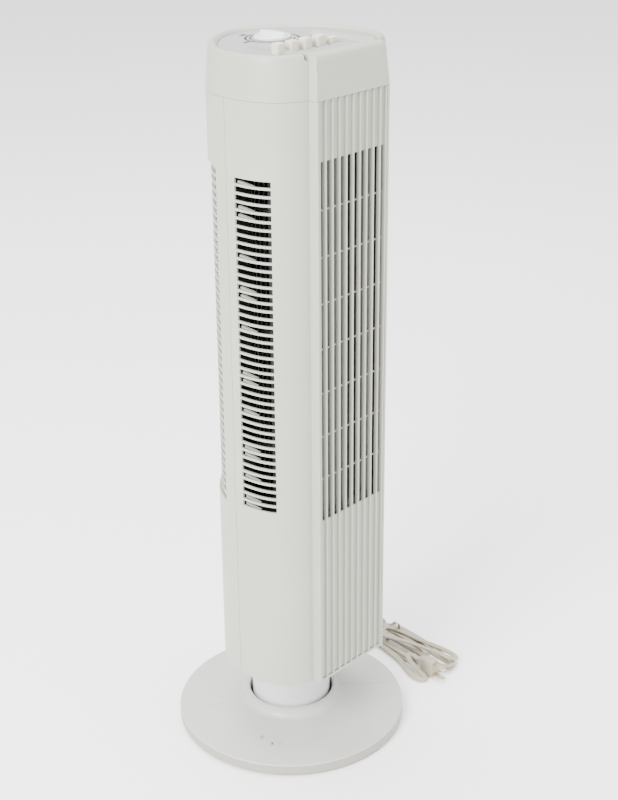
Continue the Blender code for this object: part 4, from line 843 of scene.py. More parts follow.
@dataclass(frozen=True)
class Plan:
    """The tower's plan: two half superellipses and a flat box in front.

    Each half is |x / half_width| ^ power + |y / depth| ^ power = 1 about its widest line.
    """

    half_width: float = 90.5 * MM
    mid_y: float = -12.5 * MM
    front_depth: float = 73.5 * MM
    front_power: float = 3.1
    rear_depth: float = 83.0 * MM
    rear_power: float = 1.7
    box_half: float = 50.5 * MM
    face_y: float = -92.0 * MM

    def round_line(self, front: bool) -> np.ndarray:
        """Dense points of the +x half: from the crease to the side, or from the side to the rear.

        Args:
            front: true for the front half.

        Returns:
            Rows of x and y, with y rising.
        """
        power = self.front_power if front else self.rear_power
        depth = -self.front_depth if front else self.rear_depth
        last = math.acos((self.box_half / self.half_width) ** (power / 2)) if front else math.pi / 2
        angle = np.linspace(last, 0.0, 900) if front else np.linspace(0.0, last, 900)
        x = self.half_width * np.maximum(np.cos(angle), 0) ** (2 / power)
        y = self.mid_y + depth * np.maximum(np.sin(angle), 0) ** (2 / power)
        return np.column_stack([x, y])

    def part(self, front: bool, start_y: float, end_y: float, count: int) -> np.ndarray:
        """Even points of the +x half between two y values.

        Args:
            front: true for the front half.
            start_y: where it starts.
            end_y: where it ends.
            count: how many points.

        Returns:
            Rows of x and y.
        """
        line = self.round_line(front)
        inside = (line[:, 1] >= start_y) & (line[:, 1] <= end_y)
        ends = [np.array([[np.interp(y, line[:, 1], line[:, 0]), y]]) for y in (start_y, end_y)]
        return resampled(np.vstack([ends[0], line[inside], ends[1]]), count)

    @property
    def crease_y(self) -> float:
        """Where the box meets the round body."""
        return float(self.round_line(True)[0, 1])

    def outline(self, front_count: int = 34, rear_count: int = 40) -> np.ndarray:
        """The whole plan, anticlockwise from the middle of the front face.

        Args:
            front_count: points along each side of the front half.
            rear_count: points along each side of the rear half.

        Returns:
            Rows of x and y.
        """
        face = np.column_stack([np.linspace(0, self.box_half, 9), np.full(9, self.face_y)])
        wall = np.column_stack([np.full(4, self.box_half), np.linspace(self.face_y, self.crease_y, 5)[1:]])
        front = resampled(self.round_line(True), front_count)[1:]
        rear = resampled(self.round_line(False), rear_count)[1:]
        right = np.vstack([face, wall, front, rear])
        left = right[1:-1][::-1] * [-1, 1]
        return np.vstack([right, left])


# ---------------------------------------------------------------- housing

@dataclass
class Housing:
    """Front and rear shells, both intake grilles and the screws' recesses."""

    plan: Plan = field(default_factory=Plan)
    wall: float = 2.5 * MM
    low: float = 100.0 * MM
    high: float = 720.0 * MM
    floor: float = 3.0 * MM
    slot_top: float = 647.2 * MM
    slot_pitch: float = 8.0 * MM
    slot_height: float = 5.6 * MM
    slot_count: int = 43
    slot_front: float = -61.5 * MM
    slot_rear: float = -23.0 * MM
    rear_start: float = 5.5 * MM
    rear_recess: float = 2.7 * MM
    gap: float = 0.15 * MM
    edge: float = 0.35 * MM
    bay: float = 30.0 * MM
    post: float = 2.0 * MM
    screw_shank: float = 1.9 * MM
    screw_recess: float = 3.9 * MM
    screw_tube: float = 5.6 * MM
    screw_head: float = 2.7 * MM
    tube_end: float = 58.5 * MM
    screen_depth: float = 7.0 * MM
    screen_thick: float = 0.6 * MM
    wedge_slots: tuple[int, ...] = (0, 3, 4, 9, 13, 14, 18, 24, 25, 29, 34, 35, 38, 41, 42)

    @property
    def slot_bottom(self) -> float:
        """Lowest edge of the intake band."""
        return self.slot_top - self.slot_count * self.slot_pitch

    def slot_edges(self) -> np.ndarray:
        """Heights of every slot's lower and upper edge, rising."""
        low = self.slot_top - self.slot_pitch * np.arange(self.slot_count)[::-1] - self.slot_height
        return np.sort(np.r_[low, low + self.slot_height])

    def slot_rows(self, heights: np.ndarray) -> np.ndarray:
        """True for each row of quads that lies in a slot.

        Args:
            heights: rising heights of the wall's rows.

        Returns:
            One truth value for each row of quads.
        """
        middle = (heights[1:] + heights[:-1]) / 2
        into = (self.slot_top - middle) % self.slot_pitch
        inside = (middle < self.slot_top) & (middle > self.slot_bottom)
        return inside & (into < self.slot_height)

    def wall_grid(self, line: np.ndarray, heights: np.ndarray, side: Side,
                  open_quads: np.ndarray) -> tuple[np.ndarray, list[list[int]]]:
        """An upright wall: every point of a plan line at every height, without the open quads.

        Args:
            line: the wall's plan on the +x side, anticlockwise.
            heights: rising heights of its rows.
            side: the side that it stands on.
            open_quads: true where a quad is left out, by row and column.

        Returns:
            Points and faces, facing outwards.
        """
        points = np.stack([at_height(line * [side.value, 1], z) for z in heights])
        faces = grid_faces(len(heights), len(line), keep=~open_quads)
        if side is Side.LEFT:
            faces = [face[::-1] for face in faces]
        return points.reshape(-1, 3), faces

    def floor_plate(self, front: bool) -> tuple[np.ndarray, list[list[int]]]:
        """The half floor: the shell's plan closed along the parting line, with a round bay for the neck.

        Args:
            front: true for the front half.

        Returns:
            Points and faces.
        """
        inner = inset(self.plan.outline(), self.wall * 0.6)
        edge = self.plan.mid_y + (-self.gap if front else self.gap)
        kept = inner[inner[:, 1] < edge - 1e-4] if front else inner[inner[:, 1] > edge + 1e-4]
        reach = math.asin(edge / self.bay)
        if front:
            split = int(np.argmax(kept[:, 0] < -1e-6))
            kept = np.vstack([kept[split:], kept[:split]])
            angle = np.linspace(reach, -math.pi - reach, 18)
        else:
            angle = np.linspace(math.pi - reach, reach, 26)
        side_x = self.plan.half_width - self.wall * 0.6
        bay = np.column_stack([np.cos(angle), np.sin(angle)]) * self.bay
        ends = [[side_x, edge]], [[-side_x, edge]]
        parts = [kept, ends[0], bay, ends[1]] if front else [ends[0], kept, ends[1], bay]
        return stacked(np.vstack(parts), [self.low + 0.1 * MM, self.low + self.floor])

    def front_shell(self) -> bpy.types.Object:
        """Both slotted side walls with the box's lips, the floor, the header and the slots' inner wedges.

        Returns:
            The front housing.
        """
        plan = self.plan
        lip = np.column_stack([np.full(5, plan.box_half), np.linspace(plan.face_y, plan.crease_y, 6)[:-1]])
        line = np.vstack([lip, plan.part(True, plan.crease_y, self.slot_front, 16),
                          plan.part(True, self.slot_front, self.slot_rear, 13)[1:],
                          plan.part(True, self.slot_rear, plan.mid_y - self.gap, 4)[1:]])
        heights = np.unique(np.round(np.r_[np.linspace(self.low, self.slot_bottom, 12), self.slot_edges(),
                                           np.linspace(self.slot_top, self.high, 5)], 7))
        middle = (line[1:, 1] + line[:-1, 1]) / 2
        columns = (middle > self.slot_front) & (middle < self.slot_rear)
        open_quads = self.slot_rows(heights)[:, None] & columns[None]
        walls = Shape()
        for side in Side:
            walls.add(*self.wall_grid(line, heights, side, open_quads))
        made = settle(thicken(walls.piece("front_shell_skin", 50), self.wall, self.edge))
        inner = Shape().add(*self.floor_plate(True))
        header = np.array([[-49.0, -83.9, 706.0], [49.0, -80.9, 718.0]]) * MM
        inner.add(*blocks(header[:1], header[1:]))
        for index in self.wedge_slots:
            base = self.slot_top - index * self.slot_pitch - self.slot_height - 0.4 * MM
            wedge = np.array([[-24.0, 0.0], [-24.0, 2.2], [-43.0, 0.2], [-43.0, 0.0]]) * MM
            rings = [np.column_stack([np.full(4, x * MM), wedge[:, 0], base + wedge[:, 1]])
                     for x in (-86.6, -83.6)]
            inner.add(*lofted(np.stack(rings)))
        return joined("front_housing", made, inner.piece("front_housing_inner"))

    @staticmethod
    def screw_ring(x: float, z: float, radius: float, y: float) -> np.ndarray:
        """A circle about a front-to-back axis: x + r cos a, the depth y, z - r sin a.

        Args:
            x: the axis's x.
            z: the axis's z.
            radius: the circle's radius.
            y: its depth.

        Returns:
            Rows of x, y and z.
        """
        ring = circle(32) * radius
        return np.column_stack([x + ring[:, 0], np.full(len(ring), y), z - ring[:, 1]])

    def rear_shell(self) -> bpy.types.Object:
        """The rear wall round the grille's opening, with four screw recesses and the floor.

        Returns:
            The rear housing.
        """
        plan = self.plan
        rear_y = plan.mid_y + plan.rear_depth
        side = np.vstack([plan.part(False, plan.mid_y + self.gap, self.rear_start, 5),
                          plan.part(False, self.rear_start, rear_y, 46)[1:]])
        line = np.vstack([side, (side[:-1] * [-1, 1])[::-1]])
        low, high = self.slot_bottom - 4 * MM, self.slot_top + 4 * MM
        heights = np.r_[np.linspace(self.low, low, 12), np.linspace(low, high, 30)[1:],
                        np.linspace(high, self.high, 6)[1:]]
        middle_y = (line[1:, 1] + line[:-1, 1]) / 2
        middle_z = (heights[1:] + heights[:-1]) / 2
        open_quads = ((middle_z > low) & (middle_z < high))[:, None] & (middle_y > self.rear_start)[None]
        wall = Shape().add(*self.wall_grid(line, heights, Side.RIGHT, open_quads))
        made = settle(thicken(wall.piece("rear_shell_skin", 50), self.wall, self.edge))
        tool, tubes = Shape(), Shape()
        shank, recess, tube = self.screw_shank, self.screw_recess, self.screw_tube
        for index in range(4):
            a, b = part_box(f"housing_screw_{index + 1}")
            x, z = (a.x + b.x) / 2, (a.z + b.z) / 2
            seat = b.y - self.screw_head
            reach = (seat + 1 * MM, rear_y + 5 * MM)
            tool.add(*lofted(np.stack([self.screw_ring(x, z, recess, y) for y in reach])))
            steps = ((shank, seat), (shank, seat + 0.05 * MM), (recess, seat + 0.05 * MM),
                     (recess, self.tube_end), (tube, self.tube_end), (tube, seat - 2 * MM),
                     (shank, seat - 2 * MM))
            rings = np.stack([self.screw_ring(x, z, radius, y) for radius, y in steps])
            tubes.add(rings.reshape(-1, 3), grid_faces(*rings.shape[:2], True, True))
        made = cut_away(made, tool.piece("recess_tool"))
        tubes.add(*self.floor_plate(False))
        return joined("rear_housing", made, tubes.piece("rear_housing_inner"))

    def rear_grille(self) -> bpy.types.Object:
        """Recessed slotted panel: the rear wall moved in by the recess, with a post at its middle.

        Returns:
            The rear intake.
        """
        plan = self.plan
        rear_y = plan.mid_y + plan.rear_depth
        post = self.post
        frame = self.rear_start + 4.3 * MM
        side = np.vstack([plan.part(False, self.rear_start + 0.3 * MM, frame, 3),
                          plan.part(False, frame, rear_y, 30)[1:]])
        side = side[side[:, 0] > post + 1.5 * MM]
        side = np.vstack([side, [[post, np.interp(post, side[::-1, 0], side[::-1, 1])]], [[0, rear_y]]])
        line = np.vstack([side, (side[:-1] * [-1, 1])[::-1]])
        along = np.gradient(line, axis=0)
        along /= np.linalg.norm(along, axis=1, keepdims=True)
        line = line + self.rear_recess * np.column_stack([-along[:, 1], along[:, 0]])
        low, high = self.slot_bottom - 3.7 * MM, self.slot_top + 3.7 * MM
        heights = np.unique(np.round(np.r_[low, self.slot_edges(), high], 7))
        columns = np.ones(len(line) - 1, bool)
        columns[[0, 1, -1, -2]] = False
        columns[(len(line) - 1) // 2 - 1:(len(line) - 1) // 2 + 1] = False
        open_quads = self.slot_rows(heights)[:, None] & columns[None]
        wall = Shape().add(*self.wall_grid(line, heights, Side.RIGHT, open_quads))
        return settle(thicken(wall.piece("rear_intake", 50), self.wall, 0.3 * MM))

    def screen(self) -> bpy.types.Object:
        """Dark dust screen inside the rear intake: the plan moved in twice, cut off near its widest line.

        Returns:
            The screen.
        """
        outline = self.plan.outline()
        kept = outline[:, 1] > self.plan.mid_y - 4 * MM
        outer = inset(outline, self.screen_depth)[kept]
        inner = inset(outline, self.screen_depth + self.screen_thick)[kept]
        band = np.vstack([outer, inner[::-1]])
        heights = [self.slot_bottom - 4.2 * MM, self.slot_top + 4.3 * MM]
        return Shape().add(*stacked(band, heights)).piece("dust_screen")

    def build(self, shop: Workshop) -> None:
        """Builds and fits every piece of the housing.

        Args:
            shop: dresses and fits the pieces.
        """
        shop.fit(self.screen(), Slot.INNER, "tower")
        shop.fit(self.front_shell(), Slot.HOUSING, "tower", "front_shell")
        shop.fit(self.rear_shell(), Slot.HOUSING, "tower", "rear_shell")
        shop.fit(self.rear_grille(), Slot.HOUSING, "tower", "rear_grille")


def joined(name: str, *made: bpy.types.Object) -> bpy.types.Object:
    """Several settled objects made into one.

    Args:
        name: the name of the result.
        made: the objects; they are removed.

    Returns:
        The one object.
    """
    shape = Shape()
    for item in made:
        mesh = item.data
        points = np.empty(len(mesh.vertices) * 3)
        mesh.vertices.foreach_get("co", points)
        shape.add(points.reshape(-1, 3), [list(face.vertices) for face in mesh.polygons])
    for item in made:
        bpy.data.objects.remove(item)
    result = shape.piece(name, 35)
    even = result.modifiers.new("even_shading", "WEIGHTED_NORMAL")
    even.keep_sharp = True
    return result


# ---------------------------------------------------------------- front outlet

@dataclass
class Outlet:
    """Front grille with upright ribs and cross rods, and the air vanes behind it."""

    half: float = 47.7 * MM
    face_y: float = -91.8 * MM
    plate_y: float = -89.0 * MM
    plate: float = 2.0 * MM
    frame: float = 2.2 * MM
    low: float = 103.3 * MM
    high: float = 719.7 * MM
    window_low: float = 291.5 * MM
    window_high: float = 663.3 * MM
    rib_pitch: float = 9.6 * MM
    rib_count: int = 9
    rib_width: float = 1.8 * MM
    row: float = 46.5 * MM
    rod_radius: float = 0.9 * MM
    vane_count: int = 8
    vane_depth: float = 11.0 * MM
    vane_half: float = 0.6 * MM
    vane_turns: tuple[float, float] = (math.radians(18.0), math.radians(-22.0))
    rack_rail: float = 3.0 * MM
    rack_side: float = 1.2 * MM

    def rib_outline(self, x: float) -> np.ndarray:
        """Plan of one rib: a straight back and a nose that is half a circle.

        Args:
            x: the rib's middle.

        Returns:
            Rows of x and y.
        """
        angle = np.linspace(math.pi, 2 * math.pi, 11)
        half = self.rib_width / 2
        nose = np.column_stack([x + half * np.cos(angle), self.face_y + half + half * np.sin(angle)])
        back = self.plate_y + self.plate - 0.3 * MM
        return np.vstack([nose, [[x + half, back], [x - half, back]]])

    def grille(self) -> bpy.types.Object:
        """The plate round the window, its lips, the ribs and the rods.

        Returns:
            The front outlet.
        """
        y0, y1 = self.plate_y, self.plate_y + self.plate
        inner = self.half - self.frame
        frames = np.array([
            [[-self.half, y0, self.low], [self.half, y1, self.window_low]],
            [[-self.half, y0, self.window_high], [self.half, y1, self.high]],
            [[-self.half, y0, self.window_low], [-inner, y1, self.window_high]],
            [[inner, y0, self.window_low], [self.half, y1, self.window_high]],
        ])
        shape = Shape().add(*blocks(frames[:, 0], frames[:, 1]))
        for index in range(self.rib_count):
            x = (index - (self.rib_count - 1) / 2) * self.rib_pitch
            shape.add(*stacked(self.rib_outline(x), [self.low, self.window_low, self.window_high, self.high]))
        for side in (-1, 1):
            lip = self.rib_outline(side * (self.half - self.rib_width / 2))
            shape.add(*stacked(lip, [self.low, self.high]))
        rod = np.column_stack([np.zeros(10), circle(10) * self.rod_radius])
        rod_y = y1 + self.rod_radius * 0.3
        for z in np.arange(self.window_high - self.row, self.window_low + self.row / 2, -self.row):
            rings = np.stack([rod + [x, rod_y, z] for x in (-inner - 1 * MM, inner + 1 * MM)])
            shape.add(*lofted(rings))
        return shape.piece("front_outlet", 40)

    def vanes(self) -> bpy.types.Object:
        """Two groups of leaning air vanes in a frame: each vane is a thin plate with a rounded front edge.

        Returns:
            The vanes with their frame.
        """
        a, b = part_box("vane_rack")
        rail, thin = self.rack_rail, self.vane_half
        rails = np.array([[[a.x, a.y, z], [b.x, b.y, z + rail]] for z in (a.z, b.z - rail)])
        shape = Shape().add(*blocks(rails[:, 0], rails[:, 1]))
        middle = (a.y + b.y) / 2
        sides = np.array([[[x, a.y, a.z], [x + self.rack_side, b.y - 1 * MM, b.z]]
                          for x in (a.x - self.rack_side / 2, b.x - self.rack_side / 2)])
        shape.add(*blocks(sides[:, 0], sides[:, 1]))
        angle = np.linspace(math.pi, 2 * math.pi, 7)
        half = self.vane_depth / 2
        front = np.column_stack([thin * np.cos(angle), -half + thin + thin * np.sin(angle)])
        vane = np.vstack([front, [[thin, half], [-thin, half]]])
        for x in self.rib_pitch * (np.arange(self.vane_count) - (self.vane_count - 1) / 2):
            turn = self.vane_turns[1] if 0 < x < 30 * MM else self.vane_turns[0]
            shape.add(*stacked(turned(vane, turn) + [x, middle], [a.z + rail / 2, b.z - rail / 2]))
        return shape.piece("air_vanes", 40)

    def build(self, shop: Workshop) -> None:
        """Builds and fits the outlet.

        Args:
            shop: dresses and fits the pieces.
        """
        shop.fit(self.grille(), Slot.HOUSING, "tower", "front_grille")
        vanes = shop.fit(self.vanes(), Slot.HOUSING, "tower", "vane_rack")
        # The vanes take the darker grey of painted shade in place of the housing plastic.
        vanes.data.materials[0] = shop.vane


# ---------------------------------------------------------------- blower

@dataclass
class Blower:
    """Cross-flow wheel of forward-curved blades between discs."""

    radius: float = 42.6 * MM
    chord: float = 12.0 * MM
    blade_count: int = 36
    blade: float = 0.9 * MM
    lean: float = math.radians(16.0)
    disc: float = 2.0 * MM
    bore: float = 4.4 * MM
    sections: int = 6

    def wheel(self) -> bpy.types.Object:
        """Curved blades between discs.

        Along a blade the radius grows evenly from the inside out and the angle grows as its share squared.

        Returns:
            The wheel.
        """
        a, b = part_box("blower_wheel")
        centre = np.array(node_middle("blower_wheel"))
        share = np.linspace(0, 1, 6)
        radius = self.radius - self.chord + (self.chord - 0.8 * MM) * share
        angle = self.lean * share ** 2
        line = np.column_stack([radius * np.cos(angle), radius * np.sin(angle)])
        along = np.gradient(line, axis=0)
        along /= np.linalg.norm(along, axis=1, keepdims=True)
        normal = np.column_stack([-along[:, 1], along[:, 0]]) * self.blade / 2
        outline = np.vstack([line - normal, (line + normal)[::-1]])
        shape = Shape()
        for turn in 2 * math.pi * np.arange(self.blade_count) / self.blade_count:
            shape.add(*stacked(turned(outline, turn) + centre, [a.z + 0.5 * MM, b.z - 0.5 * MM]))
        for index, z in enumerate(np.linspace(a.z, b.z - self.disc, self.sections + 1)):
            end_disc = index in (0, self.sections)
            inner = self.bore if end_disc else self.radius - self.chord - 1.5 * MM
            top = z + self.disc
            profile = np.array([[inner, z], [self.radius, z], [self.radius, top], [inner, top]])
            shape.add(*revolved(profile, 72, tuple(centre)))
        return shape.piece("cross_flow_wheel", 40)

    def build(self, shop: Workshop) -> None:
        """Builds and fits the wheel."""
        shop.fit(self.wheel(), Slot.WHEEL, "wheel", "blower_wheel")


# ---------------------------------------------------------------- cap and controls

@dataclass
class Cap:
    """Top cap with its rolled rim, and the textured control panel with its print.

    The scale is the printed dial's first angle and its sweep, in radians.
    """

    plan: Plan = field(default_factory=Plan)
    low: float = 720.3 * MM
    crown: float = 761.0 * MM
    panel: float = 758.0 * MM
    draft: float = 3.2 * MM
    roll: float = 4.0 * MM
    roll_down: float = 5.5 * MM
    front_roll: float = 6.4 * MM
    rim: float = 9.0 * MM
    line_y: float = -67.0 * MM
    wall: float = 2.5 * MM
    scale: tuple[float, float] = (0.6, 4.9)

    def panel_outline(self, outline: np.ndarray, extra: float) -> np.ndarray:
        """The panel's edge, point for point with the cap's outline.

        The outline moved in by the draft and the rim, with everything in front of the panel's straight line
        slid back onto that line.

        Args:
            outline: the cap's plan at its foot.
            extra: how much further in than the panel's own edge.

        Returns:
            Rows of x and y, point for point.
        """
        moved = inset(outline, self.draft + self.rim + extra)
        line = self.line_y + extra
        side = np.interp(line, *self._side_line(moved))
        ahead = moved[:, 1] < line
        steps = np.linalg.norm(np.roll(outline, -1, axis=0) - outline, axis=1)
        run = np.r_[0, np.cumsum(steps[:-1])]
        signed = np.where(outline[:, 0] >= 0, run, run - steps.sum())
        share = signed / np.abs(signed[ahead]).max()
        corner = side - 3 * MM
        moved[ahead] = np.column_stack([np.clip(share[ahead], -1, 1) * corner, np.full(ahead.sum(), line)])
        return moved

    @staticmethod
    def _side_line(moved: np.ndarray) -> tuple[np.ndarray, np.ndarray]:
        """The +x side of an outline as y and x, with y rising.

        Args:
            moved: rows of x and y.

        Returns:
            The y values and the x values.
        """
        side = moved[(moved[:, 0] > 0) & (moved[:, 1] < 0)]
        order = np.argsort(side[:, 1])
        return side[order, 1], side[order, 0]

    def cap(self) -> bpy.types.Object:
        """Rings from the seam up the drafted wall, over the rolled edge and down inside the panel's opening.

        The roll is a quarter of an ellipse: in = width (1 - cos a), down = depth (1 - sin a). Its width is
        the front roll on the box's face and the side roll elsewhere.

        Returns:
            The cap, hollow from below.
        """
        outline = self.plan.outline()
        on_face = outline[:, 1] < self.plan.face_y + 0.1 * MM
        on_wall = (~on_face) & (np.abs(np.abs(outline[:, 0]) - self.plan.box_half) < 0.1 * MM)
        on_wall &= outline[:, 1] < self.plan.crease_y + 0.1 * MM
        rings = []
        for z, share in ((self.low, 0.0), (self.low + 12 * MM, 0.3), (self.low + 24 * MM, 0.6),
                         (self.crown - 6 * MM, 0.92)):
            rings.append(at_height(inset(outline, self.draft * share), z))
        base = inset(outline, self.draft)
        for angle in np.linspace(0.12, 1.0, 8) * math.pi / 2:
            across, down = 1 - math.cos(angle), 1 - math.sin(angle)
            ring = inset(base, self.roll * across)
            ring[on_face] = base[on_face] + [0, self.front_roll * across]
            ring[on_wall, 0] = base[on_wall, 0]
            face = self.plan.face_y + self.draft + self.front_roll * across
            crease = ring[on_wall, 1].max()
            back = (outline[on_wall, 1] - self.plan.face_y) / (self.plan.crease_y - self.plan.face_y)
            ring[on_wall, 1] = face + (crease - face) * back
            rings.append(at_height(ring, self.crown - self.roll_down * down))
        crown = rings[-1][:, :2]
        edge = self.panel_outline(outline, 0.0)
        for share, drop in ((0.3, 0.15), (0.6, 0.8), (0.85, 1.9), (1.0, 2.75)):
            rings.append(at_height(crown + (edge - crown) * share, self.crown - drop * MM))
        rings.append(at_height(edge, self.panel - 2.2 * MM))
        rings.append(at_height(self.panel_outline(outline, -1.5 * MM), self.panel - 2.6 * MM))
        rings.append(at_height(inset(outline, self.wall + self.draft), self.crown - 10 * MM))
        rings.append(at_height(inset(outline, self.wall), self.low))
        faces = grid_faces(len(rings), len(outline), True, True)
        return Shape().add(np.concatenate(rings), faces).piece("top_cap_skin", 32)

    def control_panel(self) -> bpy.types.Object:
        """The flat panel inside the rim, with round-cornered holes where the buttons pass.

        Returns:
            The panel.
        """
        outline = self.panel_outline(self.plan.outline(), 0.25 * MM)
        made = Shape().add(*stacked(outline, [self.panel - 2.5 * MM, self.panel])).piece("panel_plate")
        tool = Shape()
        for name in Buttons.names:
            a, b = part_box(name)
            width, depth = b.x - a.x - 2.2 * MM, b.y - a.y - 2.2 * MM
            hole = rounded_box(node_middle(name), width, depth, 1.8 * MM)
            tool.add(*stacked(hole, [self.panel - 5 * MM, self.panel + 5 * MM]))
        made = cut_away(made, tool.piece("hole_tool"))
        return settle(soften(made, 0.25 * MM))

    def dial_print(self, centre: tuple[float, float]) -> bpy.types.Object:
        """Two printed rings round the knob and the ticks between them.

        Args:
            centre: the knob's axis.

        Returns:
            The print, a thin layer on the panel.
        """
        shape = Shape()
        z = self.panel + 0.02 * MM
        top = z + 0.04 * MM
        for inner, outer, start, sweep in ((24.9, 27.0, 0.0, 2 * math.pi), (20.6, 22.0, *self.scale)):
            profile = np.array([[inner * MM, z], [outer * MM, z], [outer * MM, top], [inner * MM, top]])
            shape.add(*revolved(profile, 120, centre, start, sweep))
        for index in range(13):
            long = 25.2 if index % 3 == 0 else 23.2
            tick = np.array([[21.2, -0.4], [long, -0.4], [long, 0.4], [21.2, 0.4]]) * MM
            tick = turned(tick, self.scale[0] + self.scale[1] * index / 12) + centre
            shape.add(*stacked(tick, [z, top]))
        return shape.piece("dial_print", 30)

    def numerals(self, centre: tuple[float, float]) -> list[bpy.types.Object]:
        """Plain numerals round the dial and beside the buttons.

        Args:
            centre: the knob's axis.

        Returns:
            One piece for each numeral.
        """
        marks = []
        for index, text in enumerate(("0", "30", "60", "90", "120")):
            angle = self.scale[0] + self.scale[1] * index / 4
            x = centre[0] + 32.0 * MM * math.cos(angle)
            y = centre[1] + 32.5 * MM * math.sin(angle)
            marks.append((text, x, y, 8.0))
        for text, name in zip(("0", "1", "2", "3", "I"), Buttons.names):
            a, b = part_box(name)
            marks.append((text, b.x + 2.4 * MM, a.y + 1.0 * MM, 7.0))
        made = []
        for index, (text, x, y, size) in enumerate(marks):
            curve = bpy.data.curves.new(f"numeral_{index + 1}", "FONT")
            curve.body = text
            curve.size = size * MM
            curve.align_x = "CENTER"
            curve.align_y = "CENTER"
            curve.extrude = 0.02 * MM
            curve.offset = 0.3 * MM
            holder = bpy.data.objects.new("holder", curve)
            bpy.context.scene.collection.objects.link(holder)
            graph = bpy.context.evaluated_depsgraph_get()
            mesh = bpy.data.meshes.new_from_object(holder.evaluated_get(graph))
            bpy.data.objects.remove(holder)
            mesh.transform(Matrix.Translation((x, y, self.panel + 0.04 * MM)))
            mesh.name = curve.name
            piece = bpy.data.objects.new(f"numeral_{index + 1}", mesh)
            bpy.context.scene.collection.objects.link(piece)
            made.append(piece)
        return made

    def build(self, shop: Workshop) -> None:
        """Builds and fits the cap, the panel and the print.

        Args:
            shop: dresses and fits the pieces.
        """
        centre = node_middle("timer_knob")
        shop.fit(self.cap(), Slot.HOUSING, "tower", "top_cap")
        shop.fit(self.control_panel(), Slot.PANEL, "tower", "control_panel")
        shop.print_on(self.dial_print(centre), "tower")
        for numeral in self.numerals(centre):
            shop.print_on(numeral, "tower")


@dataclass
class Knob:
    """Timer knob: a low disc with a lens-shaped grip standing on it."""

    radius: float = 18.0 * MM
    skirt: float = 2.6 * MM
    grip_half: float = 5.6 * MM
    rings: int = 40
    around: int = 144

    def knob(self) -> bpy.types.Object:
        """Disc and grip as one height over a round grid.

        The height is the skirt's plus the grip's, which falls off smoothly with the distance outside a lens
        |x| < half (1 - (y / reach) ^ 2). The disc's outer edge rolls down as a quarter circle.

        Returns:
            The knob.
        """
        a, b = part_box("timer_knob")
        centre = node_middle("timer_knob")
        radius = self.radius * np.sin(np.linspace(0.04, 1, self.rings) * math.pi / 2)
        angle = 2 * math.pi * np.arange(self.around) / self.around
        x, y = radius[:, None] * np.cos(angle), radius[:, None] * np.sin(angle)
        reach = self.radius * 0.99
        lens = self.grip_half * np.maximum(1 - (y / reach) ** 2, 0.0)
        outside = (np.abs(x) - lens) / (1.6 * MM)
        rise = 0.5 - 0.5 * np.tanh(outside * 1.6)
        rise *= 1 / (1 + np.exp((np.hypot(x, y) - self.radius + 1.6 * MM) / (0.35 * MM)))
        tall = b.z - a.z - self.skirt
        edge = np.clip((self.radius - np.hypot(x, y)) / (1.2 * MM), 0, 1)
        height = a.z + self.skirt - 1.2 * MM * (1 - np.sqrt(1 - (1 - edge) ** 2 * 0.98)) + tall * rise
        grid = np.stack([centre[0] + x, centre[1] + y, height], -1)
        rim = grid[-1].copy()
        rim[:, 2] = a.z
        points = np.concatenate([grid.reshape(-1, 3), rim, [[*centre, height[0].mean()]], [[*centre, a.z]]])
        total = self.rings * self.around
        faces = grid_faces(self.rings + 1, self.around, wrap_columns=True)
        faces = [face[::-1] for face in faces]
        top, bottom = total + self.around, total + self.around + 1
        step = np.arange(self.around)
        after = (step + 1) % self.around
        faces += [[int(top), int(i), int(j)] for i, j in zip(step, after)]
        faces += [[int(bottom), int(total + j), int(total + i)] for i, j in zip(step, after)]
        return Shape().add(points, faces).piece("timer_grip", 60)

    def pointer(self) -> bpy.types.Object:
        """Inked line on the end of the grip.

        Returns:
            The line.
        """
        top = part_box("timer_knob")[1].z
        x, y = node_middle("timer_knob")
        low = np.array([[x - 0.35 * MM, y + 8.0 * MM, top - 0.3 * MM]])
        high = np.array([[x + 0.35 * MM, y + 14.5 * MM, top + 0.05 * MM]])
        return Shape().add(*blocks(low, high)).piece("timer_pointer")

    def build(self, shop: Workshop) -> None:
        """Builds and fits the knob."""
        shop.fit(self.knob(), Slot.KNOB, "knob", "timer_knob")
        shop.print_on(self.pointer(), "knob")


